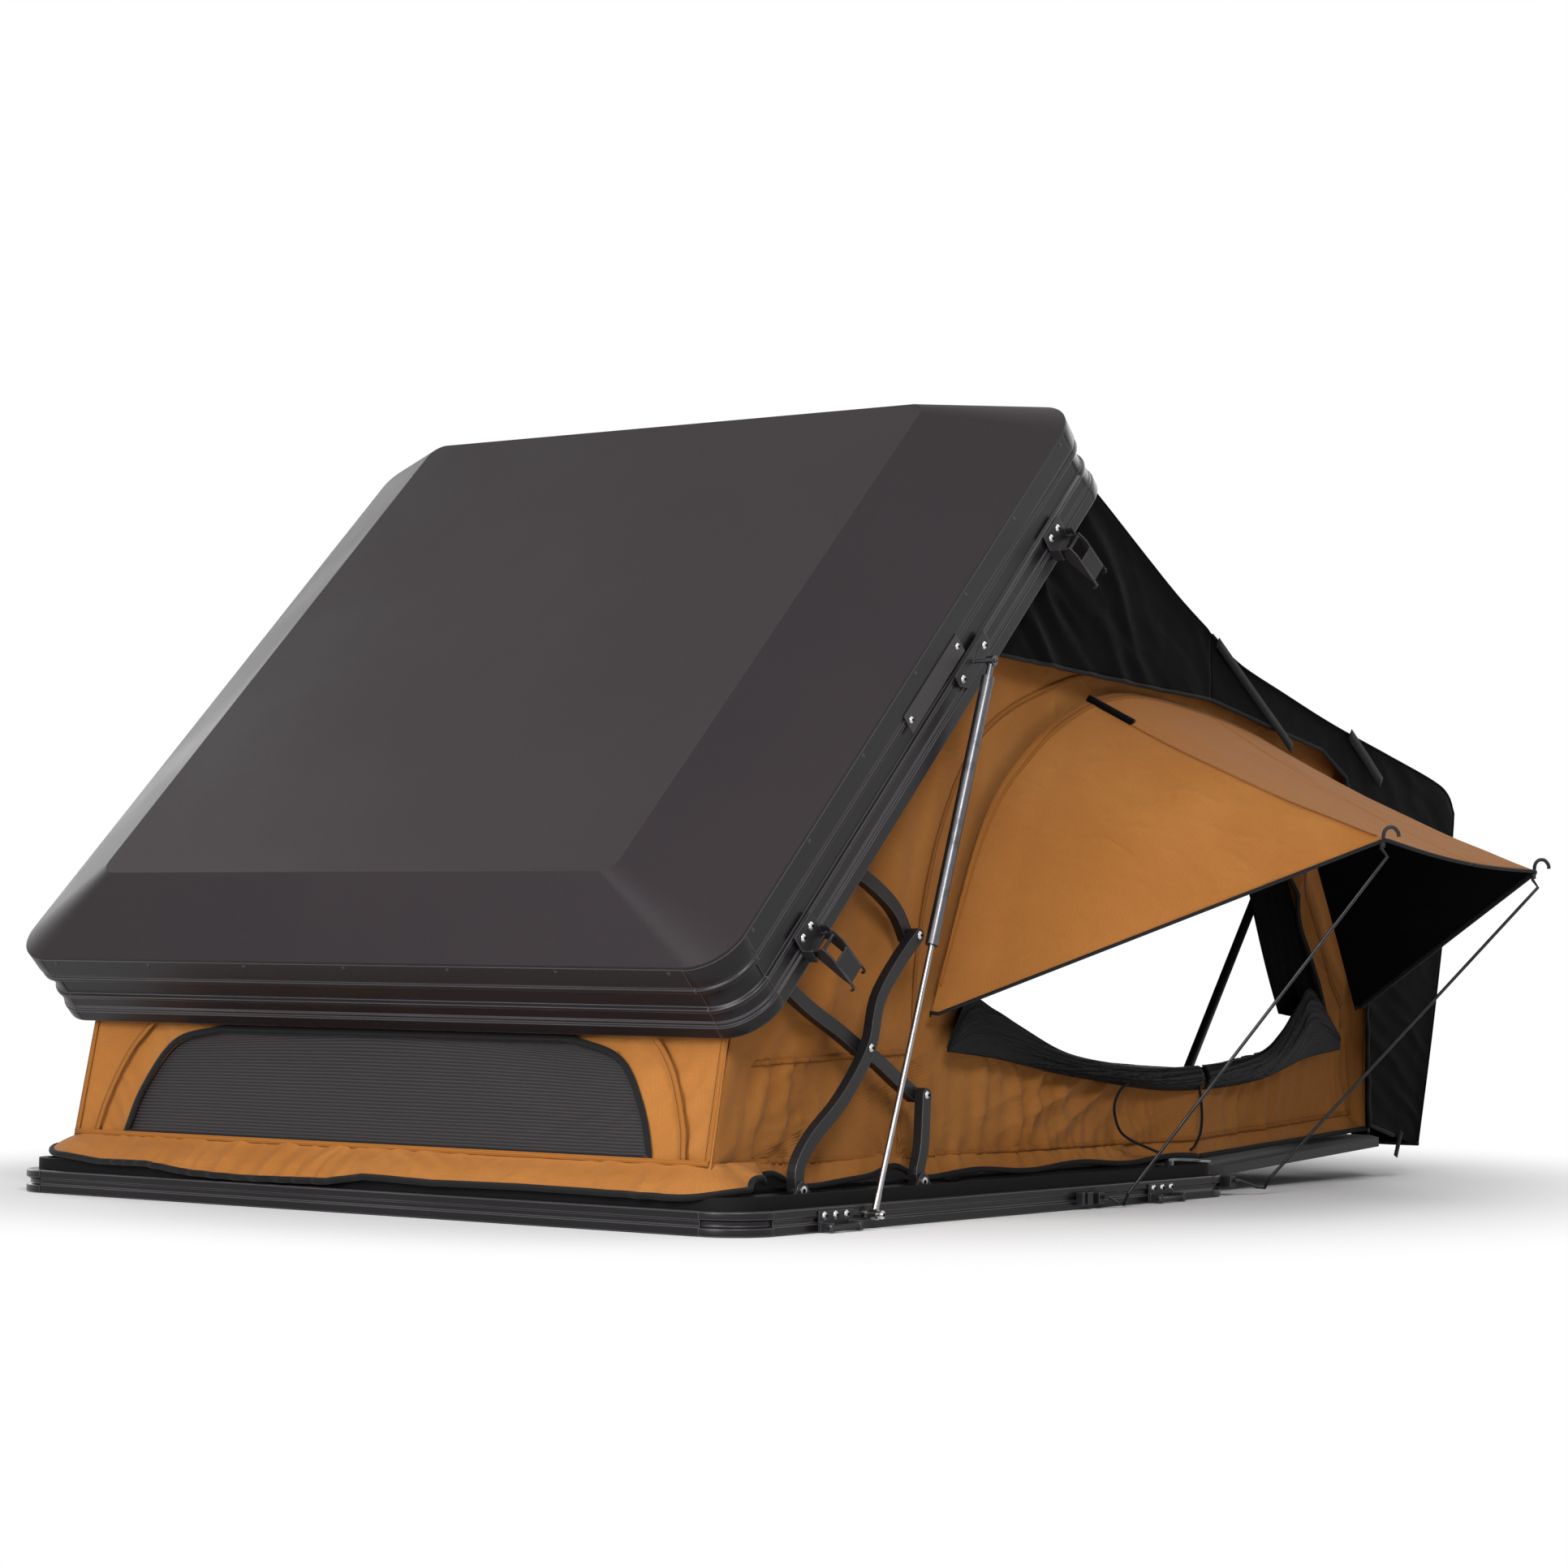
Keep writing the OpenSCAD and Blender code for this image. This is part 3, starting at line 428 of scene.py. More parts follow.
@dataclass(frozen=True)
class Weave:
    """Woven cloth: threads, ripstop squares, slubs, faded areas and a soft sheen."""

    name: str
    colour: str
    shade: str
    faded: str
    thread: float = 0.0011
    rip: float = 0.0075
    rip_strength: float = 0.5
    roughness: float = 0.8
    sheen: float = 0.25
    depth: float = 0.0004
    specular: float = 0.16
    crumple: float = 4.0

    def build(self) -> bpy.types.Material:
        """Makes the material.

        Returns:
            The material with its nodes.
        """
        s = Shader(self.name)
        at = s.place("UV")
        u, v = s.axis(at, "X"), s.axis(at, "Y")
        turn = 2 * math.pi
        warp = (u * (turn / self.thread)).wave()
        weft = (v * (turn / self.thread)).wave()
        lattice = (warp * weft) * 0.5 + 0.5
        square_u = ((u / self.rip).part() - 0.5).size().ease(0.40, 0.49)
        square_v = ((v / self.rip).part() - 0.5).size().ease(0.40, 0.49)
        rip = (square_u + square_v).ease(0.0, 1.0)
        body = s.place("Object")
        slub = s.cloud(at, (60.0, 900.0, 1.0), 3.0)
        wash = s.cloud(body, 3.1, 5.0, 0.6)
        crease = s.cloud(body, (9.0, 14.0, 26.0), 5.0, 0.65)
        base = s.tint(wash.ease(0.35, 0.7) * 0.55, self.colour, self.faded)
        base = s.tint(slub.ease(0.45, 0.8) * 0.22 + rip * (0.22 * self.rip_strength)
                      + lattice * 0.10, base, self.shade)
        pull = s.cloud(body, (3.4, 3.4, 1.5), 3.0, 0.5)
        ridge = (1.0 - (pull * 2.0 - 1.0).size() * 1.6).ease(0.55, 1.0)
        cross = s.cloud(body, (8.0, 8.0, 13.0), 2.0, 0.5)
        ridge = ridge + (1.0 - (cross * 2.0 - 1.0).size() * 1.6).ease(0.7, 1.0) * 0.5
        height = lattice * 0.35 + rip * self.rip_strength + slub * 0.2 + crease * 1.6 + ridge * self.crumple
        return s.set(Base_Color=base, Roughness=wash.ease(0.3, 0.7, self.roughness - 0.06, self.roughness + 0.06),
                     Sheen_Weight=self.sheen, Sheen_Roughness=0.45, Specular_IOR_Level=self.specular,
                     Normal=s.relief(height, 0.55, self.depth))


@dataclass(frozen=True)
class Ribbed:
    """Fine insect mesh, seen as close horizontal ribs with a silky sheen: a slight real sheen, and a lighter colour on
    each rib that is painted sheen.
    """

    name: str
    colour: str
    rib: str
    pitch: float = 0.006
    specular: float = 0.24

    def build(self) -> bpy.types.Material:
        """Makes the material.

        Returns:
            The material with its nodes.
        """
        s = Shader(self.name)
        at = s.place("UV")
        u, v = s.axis(at, "X"), s.axis(at, "Y")
        wobble = s.cloud(at, (6.0, 30.0, 1.0), 2.0)
        row = ((v + wobble * 0.002) / self.pitch).part()
        ridge = ((row - 0.5).size() * 2.0).ease(0.15, 0.9)
        knots = (u * (2 * math.pi / 0.0024)).wave() * 0.5 + 0.5
        band = s.cloud(at, (3.0, 9.0, 1.0), 3.0)
        # lighter colour on each raised rib: painted sheen
        colour = s.tint(ridge * 0.7 + knots * 0.12 + band * 0.2 - 0.1, self.colour, self.rib)
        return s.set(Base_Color=colour, Roughness=band.ease(0.2, 0.8, 0.36, 0.56), Sheen_Weight=0.03,
                     Specular_IOR_Level=self.specular,
                     Normal=s.relief(ridge + knots * 0.3, 0.5, 0.0009))


@dataclass(frozen=True)
class Stitched:
    """Seam tape: cloth with two rows of thread stitches along U, and painted light along its folded edge."""

    name: str
    colour: str
    thread: str
    length: float = 0.0042

    def build(self) -> bpy.types.Material:
        """Makes the material.

        Returns:
            The material with its nodes.
        """
        s = Shader(self.name)
        at = s.place("UV")
        u, v = s.axis(at, "X"), s.axis(at, "Y")
        row_a = (v - 0.0042).size().below(0.0006)
        row_b = (v - 0.0078).size().below(0.0006)
        # a line in the thread's colour along the folded edge: painted light, shade on the ochre seams and a highlight
        # on the black binding
        fold = (v - 0.0008).size().below(0.0007)
        dash = (u / self.length).part().below(0.68)
        thread = (row_a + row_b) * dash * 0.75 + fold
        grain = s.cloud(at, 900.0, 2.0)
        pucker = s.cloud(at, (120.0, 40.0, 1.0), 3.0)
        colour = s.tint(thread * 0.9, s.tint(grain * 0.3, self.colour, self.thread), self.thread)
        return s.set(Base_Color=colour, Roughness=grain.ease(0.0, 1.0, 0.72, 0.86), Sheen_Weight=0.04,
                     Specular_IOR_Level=0.12,
                     Normal=s.relief(pucker * 0.8 + grain * 0.2 - thread, 0.6, 0.0006))


class Finishes:
    """Every finish of the tent, built once and found by name."""

    def __init__(self) -> None:
        """Builds all materials."""
        ochre, umber, straw = "A2672E", "6C4119", "B57B40"
        made = [
            Coat("lid_panel", "252023", "2E282A", 0.48, 300.0, 0.00055, 0.0, 0.16),
            Coat("rail_black", "0F0D0F", "1D1A1D", 0.26, 900.0, 0.00004, 0.0, 0.24),
            Coat("corner_black", "110F11", "201D20", 0.30, 420.0, 0.00010, 0.0, 0.24),
            Coat("bracket_black", "151517", "343335", 0.42, 600.0, 0.00012, 0.0, 0.26),
            Coat("arm_black", "111113", "272628", 0.38, 500.0, 0.00012, 0.0, 0.28),
            Coat("floor_board", "3A3A3C", "515153", 0.6, 260.0, 0.0003, 0.0, 0.2),
            Coat("name_plate", "353132", "4A4646", 0.36, 900.0, 0.0001, 0.3, 0.25),
            Coat("seal_rubber", "0D0D0E", "1D1D1E", 0.72, 240.0, 0.0003, 0.0, 0.12),
            # lighter finish for broken edges: rubbed paint, and a painted highlight along each edge
            Coat("edge_rubbed", "242124", "585457", 0.30, 900.0, 0.00004, 0.0, 0.40),
            Coat("rivet_black", "1B191B", "3A3739", 0.32, 900.0, 0.00005, 0.0, 0.4),
            # dark plates on the bolt heads: painted shade of the sockets' hollows
            Coat("socket_dark", "1A1A1B", "2B2B2C", 0.5, 900.0, 0.0001, 0.2, 0.2),
            Drawn("bright_bolt", "D3D3D2", "9C9A98", 0.24, (300.0, 300.0, 300.0)),
            Drawn("aluminium_bare", "A6A8AA", "85868A", 0.42, (700.0, 60.0, 60.0)),
            Drawn("strut_tube", "5F5F62", "2C2C2F", 0.30, (22.0, 22.0, 22.0), 1.0, 0.00001),
            Drawn("strut_rod", "8C8B8D", "6A6A6D", 0.20, (14.0, 14.0, 14.0), 1.0, 0.000005),
            Drawn("rod_steel", "2C2B2D", "1A1A1B", 0.36, (30.0, 30.0, 30.0), 0.8, 0.00002),
            Weave("canvas", ochre, umber, straw, sheen=0.04, crumple=11.0),
            Weave("fly_cloth", "181718", "0B0B0C", "201F21", 0.0012, 0.009, 0.25, 0.62, 0.05, specular=0.10),
            Weave("lining_black", "0A0A0B", "050506", "0F0F10", 0.0012, 0.012, 0.2, 0.75, 0.02, specular=0.03),
            Weave("mattress_cloth", "55565A", "3C3D40", "66676B", 0.0016, 0.02, 0.3, 0.85, 0.3),
            Weave("webbing", "111112", "050506", "1C1C1E", 0.0018, 0.003, 0.6, 0.7, 0.05, specular=0.1),
            # second colours: the ribs' painted sheen
            Ribbed("black_mesh", "0F0D0F", "393436"),
            Ribbed("window_mesh", "060607", "111112", 0.0035, 0.07),
            Stitched("canvas_seam", "A2662C", "6A4118"),
            Stitched("binding_black", "121213", "262628"),
        ]
        self.by_name = {finish.name: finish.build() for finish in made}

    def __getitem__(self, name: str) -> bpy.types.Material:
        """The material of that name."""
        return self.by_name[name]


def smooth_line(points: Sequence[Point], count: int, steps: int = 12) -> np.ndarray:
    """A smooth line through points, sampled evenly by length.

    Args:
        points: the points that it goes through.
        count: number of points in the result.
        steps: samples per stretch before spacing.

    Returns:
        An array of count points.
    """
    p = np.asarray(points, float)
    ends = np.vstack([2 * p[0] - p[1], p, 2 * p[-1] - p[-2]])
    t = np.linspace(0, 1, steps, endpoint=False)[:, None]
    runs = []
    for a, b, c, d in zip(ends, ends[1:], ends[2:], ends[3:]):
        runs.append(0.5 * (2 * b + (c - a) * t + (2 * a - 5 * b + 4 * c - d) * t ** 2
                           + (3 * b - a - 3 * c + d) * t ** 3))
    return even(np.vstack(runs + [p[-1:]]), count)


def even(points: Sequence[Point], count: int) -> np.ndarray:
    """Straight stretches sampled evenly by length.

    Args:
        points: corner points.
        count: number of points in the result.

    Returns:
        An array of count points.
    """
    p = np.asarray(points, float)
    run = np.concatenate([[0], np.cumsum(np.linalg.norm(np.diff(p, axis=0), axis=1))])
    at = np.linspace(0, run[-1], count)
    return np.stack([np.interp(at, run, p[:, k]) for k in range(p.shape[1])], axis=1)


def keyed(points: Sequence[Point], counts: Sequence[int]) -> np.ndarray:
    """Straight stretches with a chosen number of steps on each.

    Args:
        points: corner points.
        counts: steps on each stretch.

    Returns:
        An array of sum(counts) + 1 points.
    """
    p = np.asarray(points, float)
    rows = [a + (b - a) * np.linspace(0, 1, n, endpoint=False)[:, None] for a, b, n in zip(p, p[1:], counts)]
    return np.vstack(rows + [p[-1:]])


def unit(vectors: np.ndarray) -> np.ndarray:
    """The vectors at length one."""
    return vectors / np.maximum(np.linalg.norm(vectors, axis=-1, keepdims=True), TINY)


def loft(outer: np.ndarray, inner: np.ndarray, count: int,
         place: Callable[[float, float, float], Point]) -> np.ndarray:
    """A grid of points between two lines.

    Args:
        outer: flat points (u, v) of the first row.
        inner: flat points (u, v) of the last row, as many.
        count: number of rows.
        place: gives the point in the frame for u, v and the share of the way from outer to inner.

    Returns:
        Rows of points in the frame.
    """
    return np.array([[place(u, v, t) for u, v in outer + (inner - outer) * t] for t in np.linspace(0, 1, count)])


def quads(rows: int, columns: int, loop: bool = False) -> Faces:
    """Four-sided faces over a grid of points that is numbered row by row.

    Args:
        rows: number of rows.
        columns: points in a row.
        loop: joins the last column to the first.

    Returns:
        Point numbers of each face.
    """
    starts = range(columns if loop else columns - 1)
    pairs = [(i * columns + j, i * columns + (j + 1) % columns) for i in range(rows - 1) for j in starts]
    return [(a, b, b + columns, a + columns) for a, b in pairs]


def put(name: str, data: bpy.types.ID) -> bpy.types.Object:
    """Adds an object to the scene.

    Args:
        name: its name.
        data: its mesh, lamp or camera.

    Returns:
        The new object.
    """
    made = bpy.data.objects.new(name, data)
    bpy.context.scene.collection.objects.link(made)
    return made


def fold_at(u: float, v: float, angle: float, long: float, wide: float, seed: float) -> float:
    """Height of soft folds that run along one direction.

    Args:
        u: first surface coordinate in metres.
        v: second surface coordinate in metres.
        angle: direction of the folds in degrees.
        long: length of a fold.
        wide: width of a fold.
        seed: picks one of many patterns.

    Returns:
        A value from about -1 to 1.
    """
    c, s = math.cos(math.radians(angle)), math.sin(math.radians(angle))
    return noise.noise(Vector(((u * c + v * s) / long, (v * c - u * s) / wide, seed)))


def crease_at(u: float, v: float, angle: float, wide: float, long: float, seed: float) -> float:
    """Height of crisp pulls in cloth: ridges of uneven strength along one direction.

    Args:
        u: first surface coordinate in metres.
        v: second surface coordinate in metres.
        angle: direction of the pulls in degrees.
        wide: distance between two pulls.
        long: length over which a pull comes and goes.
        seed: picks one of many patterns.

    Returns:
        A value from 0 to 1.
    """
    c, s = math.cos(math.radians(angle)), math.sin(math.radians(angle))
    along, over = u * c + v * s, v * c - u * s
    bend = 0.6 * noise.noise(Vector((along / (0.7 * long), over / (2 * wide), seed)))
    place = over / wide + bend + seed
    lane = math.floor(place)
    strength = 0.5 + 0.5 * math.sin(lane * 12.99 + seed * 7.7)
    span = 0.5 + 0.5 * math.sin(along * math.pi / long + lane * 2.4 + seed)
    return strength * (0.25 + 0.75 * span) * (1 - abs(2 * (place - lane) - 1)) ** 1.4


@dataclass
class Maker:
    """Base of the sub-assemblies: turns point grids and lines into closed meshes, dressed in the finishes."""

    finishes: Finishes
    seam_width: float = 0.010
    seam_thick: float = 0.0006
    odd_way: Point = (0.21, 0.33, 0.92)

    def solid(self, name: str, verts: np.ndarray, faces: Faces, uvs: np.ndarray, finish: Sequence[str],
              second: int = 0) -> bpy.types.Object:
        """Makes a smooth mesh object.

        Args:
            name: the piece's name.
            verts: its points.
            faces: its faces.
            uvs: one UV pair for each point.
            finish: names of its materials.
            second: number of first faces that take the first material; 0 for all.

        Returns:
            The new object, linked to the scene.
        """
        mesh = bpy.data.meshes.new(name)
        mesh.from_pydata(verts.tolist(), [], faces)
        layer = mesh.uv_layers.new(name="Weave")
        index = np.zeros(len(mesh.loops), np.int32)
        mesh.loops.foreach_get("vertex_index", index)
        layer.data.foreach_set("uv", uvs[index].astype(np.float32).ravel())
        for one in finish:
            mesh.materials.append(self.finishes[one])
        if second:
            slots = np.zeros(len(mesh.polygons), np.int32)
            slots[second:] = 1
            mesh.polygons.foreach_set("material_index", slots)
        mesh.polygons.foreach_set("use_smooth", np.ones(len(mesh.polygons), bool))
        mesh.update()
        return put(name, mesh)

    def sheet(self, name: str, grid: np.ndarray, thick: float, finish: Sequence[str], flip: bool = False,
              loop: bool = False) -> bpy.types.Object:
        """A closed sheet of cloth over a grid of points.

        Args:
            name: the piece's name.
            grid: rows of points.
            thick: thickness of the cloth.
            finish: the outer material, and the inner one where it differs.
            flip: turns the outer side over.
            loop: joins the last column to the first.

        Returns:
            The sheet.
        """
        m, n, _ = grid.shape
        across = np.gradient(grid, axis=0)
        if loop:
            along = (np.roll(grid, -1, axis=1) - np.roll(grid, 1, axis=1)) / 2
        else:
            along = np.gradient(grid, axis=1)
        normal = unit(np.cross(along, across)) * (-1 if flip else 1)
        du = np.linalg.norm(np.diff(grid, axis=1), axis=2)
        dv = np.linalg.norm(np.diff(grid, axis=0), axis=2)
        u = np.concatenate([np.zeros((m, 1)), np.cumsum(du, axis=1)], axis=1)
        u = np.repeat(u.mean(axis=0, keepdims=True), m, axis=0)
        v = np.concatenate([np.zeros((1, n)), np.cumsum(dv, axis=0)], axis=0)
        uv = np.stack([u, v], axis=2).reshape(-1, 2)
        top = (grid + normal * thick / 2).reshape(-1, 3)
        low = (grid - normal * thick / 2).reshape(-1, 3)
        k = m * n
        outer = [q[::-1] if flip else q for q in quads(m, n, loop)]
        inner = [tuple(x + k for x in q[::-1]) for q in outer]
        rims = [list(range(n)) + ([0] if loop else [])]
        rims.append([(m - 1) * n + j for j in reversed(range(n))] + ([(m - 1) * n + n - 1] if loop else []))
        if not loop:
            rims.append([i * n + n - 1 for i in range(m)])
            rims.append([i * n for i in reversed(range(m))])
        sides = [pair for run in rims for pair in zip(run, run[1:])]
        rim = [(a, b, b + k, a + k) if flip else (b, a, a + k, b + k) for a, b in sides]
        return self.solid(name, np.vstack([top, low]), outer + inner + rim, np.vstack([uv, uv]), finish,
                          len(outer) if len(finish) > 1 else 0)

    def tube(self, name: str, line: np.ndarray, radius: float, finish: str, sides: int = 8,
             flat: float = 1.0) -> bpy.types.Object:
        """A round cord or piping along a line.

        Args:
            name: the piece's name.
            line: points along its middle.
            radius: radius across.
            finish: its material.
            sides: sides of its section.
            flat: share of the radius kept in the second direction.

        Returns:
            The tube, with closed ends.
        """
        p = np.asarray(line, float)
        d = unit(np.gradient(p, axis=0))
        side = np.cross(d[0], self.odd_way)
        turn = np.linspace(0, 2 * math.pi, sides, endpoint=False)[:, None]
        rows, run = [], np.concatenate([[0], np.cumsum(np.linalg.norm(np.diff(p, axis=0), axis=1))])
        for q, t in zip(p, d):
            side = unit(side - t * np.dot(side, t))
            rows.append(q + radius * (np.cos(turn) * side + flat * np.sin(turn) * np.cross(t, side)))
        verts = np.vstack(rows)
        faces = quads(len(p), sides, True)
        faces.append(tuple(reversed(range(sides))))
        faces.append(tuple((len(p) - 1) * sides + j for j in range(sides)))
        uvs = np.stack([np.repeat(run, sides), np.tile(np.linspace(0, 0.01, sides), len(p))], axis=1)
        return self.solid(name, verts, faces, uvs, [finish])

    def strap(self, name: str, line: np.ndarray, across: Point, width: float, thick: float,
              finish: str) -> bpy.types.Object:
        """A flat tape along a line.

        Args:
            name: the piece's name.
            line: points along its middle.
            across: rough direction of its width.
            width: its width.
            thick: its thickness.
            finish: its material.

        Returns:
            The tape.
        """
        p = np.asarray(line, float)
        d = unit(np.gradient(p, axis=0))
        w = np.asarray(across, float)
        side = unit(w - d * (d @ w)[:, None])
        grid = np.stack([p + side * width * (t - 0.5) for t in (0.0, 0.5, 1.0)])
        return self.sheet(name, grid, thick, [finish])

    def seam(self, name: str, line: np.ndarray, across: Point) -> bpy.types.Object:
        """A stitched seam along a line, as a strap of the seams' own size."""
        return self.strap(name, line, across, self.seam_width, self.seam_thick, "canvas_seam")

    @staticmethod
    def mirrored(grid: Iterable[Point], side: Side) -> np.ndarray:
        """The grid or line on the asked side."""
        return np.array(grid) * np.array([side.value, 1.0, 1.0])


def laid_flat(grid: np.ndarray) -> tuple[float, float, float]:
    """Size of a cloth grid when it is laid flat.

    Args:
        grid: rows of points.

    Returns:
        Its widest run across the rows, its longest row and its area.
    """
    across = float(np.linalg.norm(np.diff(grid, axis=0), axis=2).sum(axis=0).max())
    along = float(np.linalg.norm(np.diff(grid, axis=1), axis=2).sum(axis=1).max())
    down, right = grid[1:, :-1] - grid[:-1, :-1], grid[:-1, 1:] - grid[:-1, :-1]
    return across, along, float(np.linalg.norm(np.cross(down, right), axis=2).sum())


@dataclass(frozen=True)
class Fold:
    """How a soft piece flattens as a joint moves."""

    joint: str
    axis: Point
    anchor: Point
    keep: float


FOLDS = {
    Body.BASE: Fold("lid_fold", (0, 0, 1), (0, 0, 0.076), 0.05),
    Body.FOLD: Fold("floor_fold", (0, 0, 1), (0, 0, 0.095), 0.03),
}


def attach(piece: bpy.types.Object, body: str, fold: Fold, nodes: Iterable[str] = ()) -> None:
    """Puts a soft piece on a CAD body.

    Args:
        piece: the finished mesh.
        body: the CAD body that carries it.
        fold: how it flattens.
        nodes: CAD nodes that it stands for.
    """
    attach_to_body(piece, body)
    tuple(fold.axis)
    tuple(fold.anchor)
    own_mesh(piece)
    if nodes:
        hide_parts(*nodes)
    LOG.info("%s rides %s", piece.name, body)


def carry(piece: bpy.types.Object, body: Body, nodes: Iterable[str] = (),
          fold: Fold | None = None) -> None:
    """Puts a soft piece on the base or the fold-out floor.

    Args:
        piece: the finished mesh.
        body: the CAD body that carries it.
        nodes: CAD nodes that it stands for.
        fold: another way to flatten than the body's own.
    """
    attach(piece, body.value, fold or FOLDS[body], nodes)


@dataclass(frozen=True)
class Lamp:
    """One soft square lamp: its place, aim, edge length and watts."""

    name: str
    place: Point
    aim: Point
    size: float
    power: float

    def build(self) -> None:
        """Adds the lamp."""
        data = bpy.data.lights.new(self.name, "AREA")
        data.size, data.energy = self.size, self.power
        lamp = put(self.name, data)
        lamp.location = self.place
        lamp.rotation_euler = (Vector(self.aim) - Vector(self.place)).to_track_quat("-Z", "Y").to_euler()


@dataclass
class Studio:
    """Camera at the photograph's angle, pale floor and soft light."""

    place: Point = (4.4857, -5.6057, 0.4558)
    yaw: float = 36.52
    pitch: float = 2.34
    roll: float = 0.61
    lens: float = 90.04
    sensor: float = 36.0
    view_end: float = 200.0
    floor_radius: float = 60.0
    floor_drop: float = 0.0005
    shadow_middle: float = 0.4
    shadow_shape: float = 0.8
    shadow_reach: tuple[float, float] = (1.05, 1.9)
    white: Colour = (1.0, 1.0, 1.0)
    fill_colour: Colour = (0.95, 0.96, 1.0)
    fill_power: float = 0.20
    lamps: tuple[Lamp, ...] = (
        Lamp("key_soft", (0.7, -4.7, 1.7), (0.2, -0.5, 0.5), 2.0, 170.0),
        Lamp("left_soft", (-4.8, 0.9, 2.4), (-0.8, 0.1, 0.8), 2.6, 70.0),
        Lamp("right_soft", (4.1, -3.3, 3.4), (0.9, 0.5, 0.7), 1.5, 150.0),
        Lamp("top_soft", (1.4, 2.4, 5.0), (0.3, 0.8, 0.6), 2.2, 30.0),
        Lamp("back_soft", (0.5, 5.5, 2.6), (0.0, 0.8, 0.6), 3.0, 40.0),
    )

    def build(self) -> None:
        """Makes the camera, floor, world and lamps."""
        self._camera()
        self._floor()
        self._world()
        for lamp in self.lamps:
            lamp.build()
        bpy.context.scene.view_settings.view_transform = "Standard"

    def _camera(self) -> None:
        """Sets the camera from its solved place and angles."""
        yaw, pitch, roll = (math.radians(a) for a in (self.yaw, self.pitch, self.roll))
        ahead = Vector((-math.sin(yaw) * math.cos(pitch), math.cos(yaw) * math.cos(pitch), math.sin(pitch)))
        right = Vector((math.cos(yaw), math.sin(yaw), 0.0))
        up = right.cross(ahead)
        turned = right * math.cos(roll) + up * math.sin(roll)
        level = up * math.cos(roll) - right * math.sin(roll)
        data = bpy.data.cameras.new("photo_camera")
        data.lens, data.sensor_width, data.sensor_fit = self.lens, self.sensor, "HORIZONTAL"
        data.clip_end = self.view_end
        camera = put("photo_camera", data)
        camera.matrix_world = Matrix.Translation(self.place) @ Matrix((turned, level, -ahead)).transposed().to_4x4()
        bpy.context.scene.camera = camera

    def _world(self) -> None:
        """White behind the object and in its reflections, softer light on it."""
        world = bpy.data.worlds.new("studio")
        bpy.context.scene.world = world
        world.use_nodes = True
        g = Graph(world.node_tree, "ShaderNodeOutputWorld")
        fill = g.node("ShaderNodeBackground", {}, {"Color": self.fill_colour, "Strength": self.fill_power})
        white = g.node("ShaderNodeBackground", {}, {"Color": self.white, "Strength": 1.0})
        g.feed(g.output, g.node("ShaderNodeMixShader", {}, {0: g.seen(), 1: fill, 2: white}))

    def _floor(self) -> None:
        """A pale floor that keeps the shadow near the object and goes over into white around it."""
        r = self.floor_radius
        mesh = bpy.data.meshes.new("floor")
        mesh.from_pydata([(-r, -r, 0), (r, -r, 0), (r, r, 0), (-r, r, 0)], [], [(0, 1, 2, 3)])
        s = Shader("floor_pale")
        at = s.place()
        pale = s.tint(s.cloud(at, 1.2, 2.0), (0.90, 0.90, 0.90), (0.94, 0.94, 0.94))
        mesh.materials.append(s.set(Base_Color=pale, Roughness=0.95, Specular_IOR_Level=0.1))
        x, y = s.axis(at, "X"), (s.axis(at, "Y") - self.shadow_middle) * self.shadow_shape
        away = ((x * x + y * y) ** 0.5).ease(*self.shadow_reach)
        s.over(away * s.seen(), s.node("ShaderNodeEmission", {}, {"Color": self.white, "Strength": 1.0}))
        floor = put("floor", mesh)
        floor.location.z = -self.floor_drop


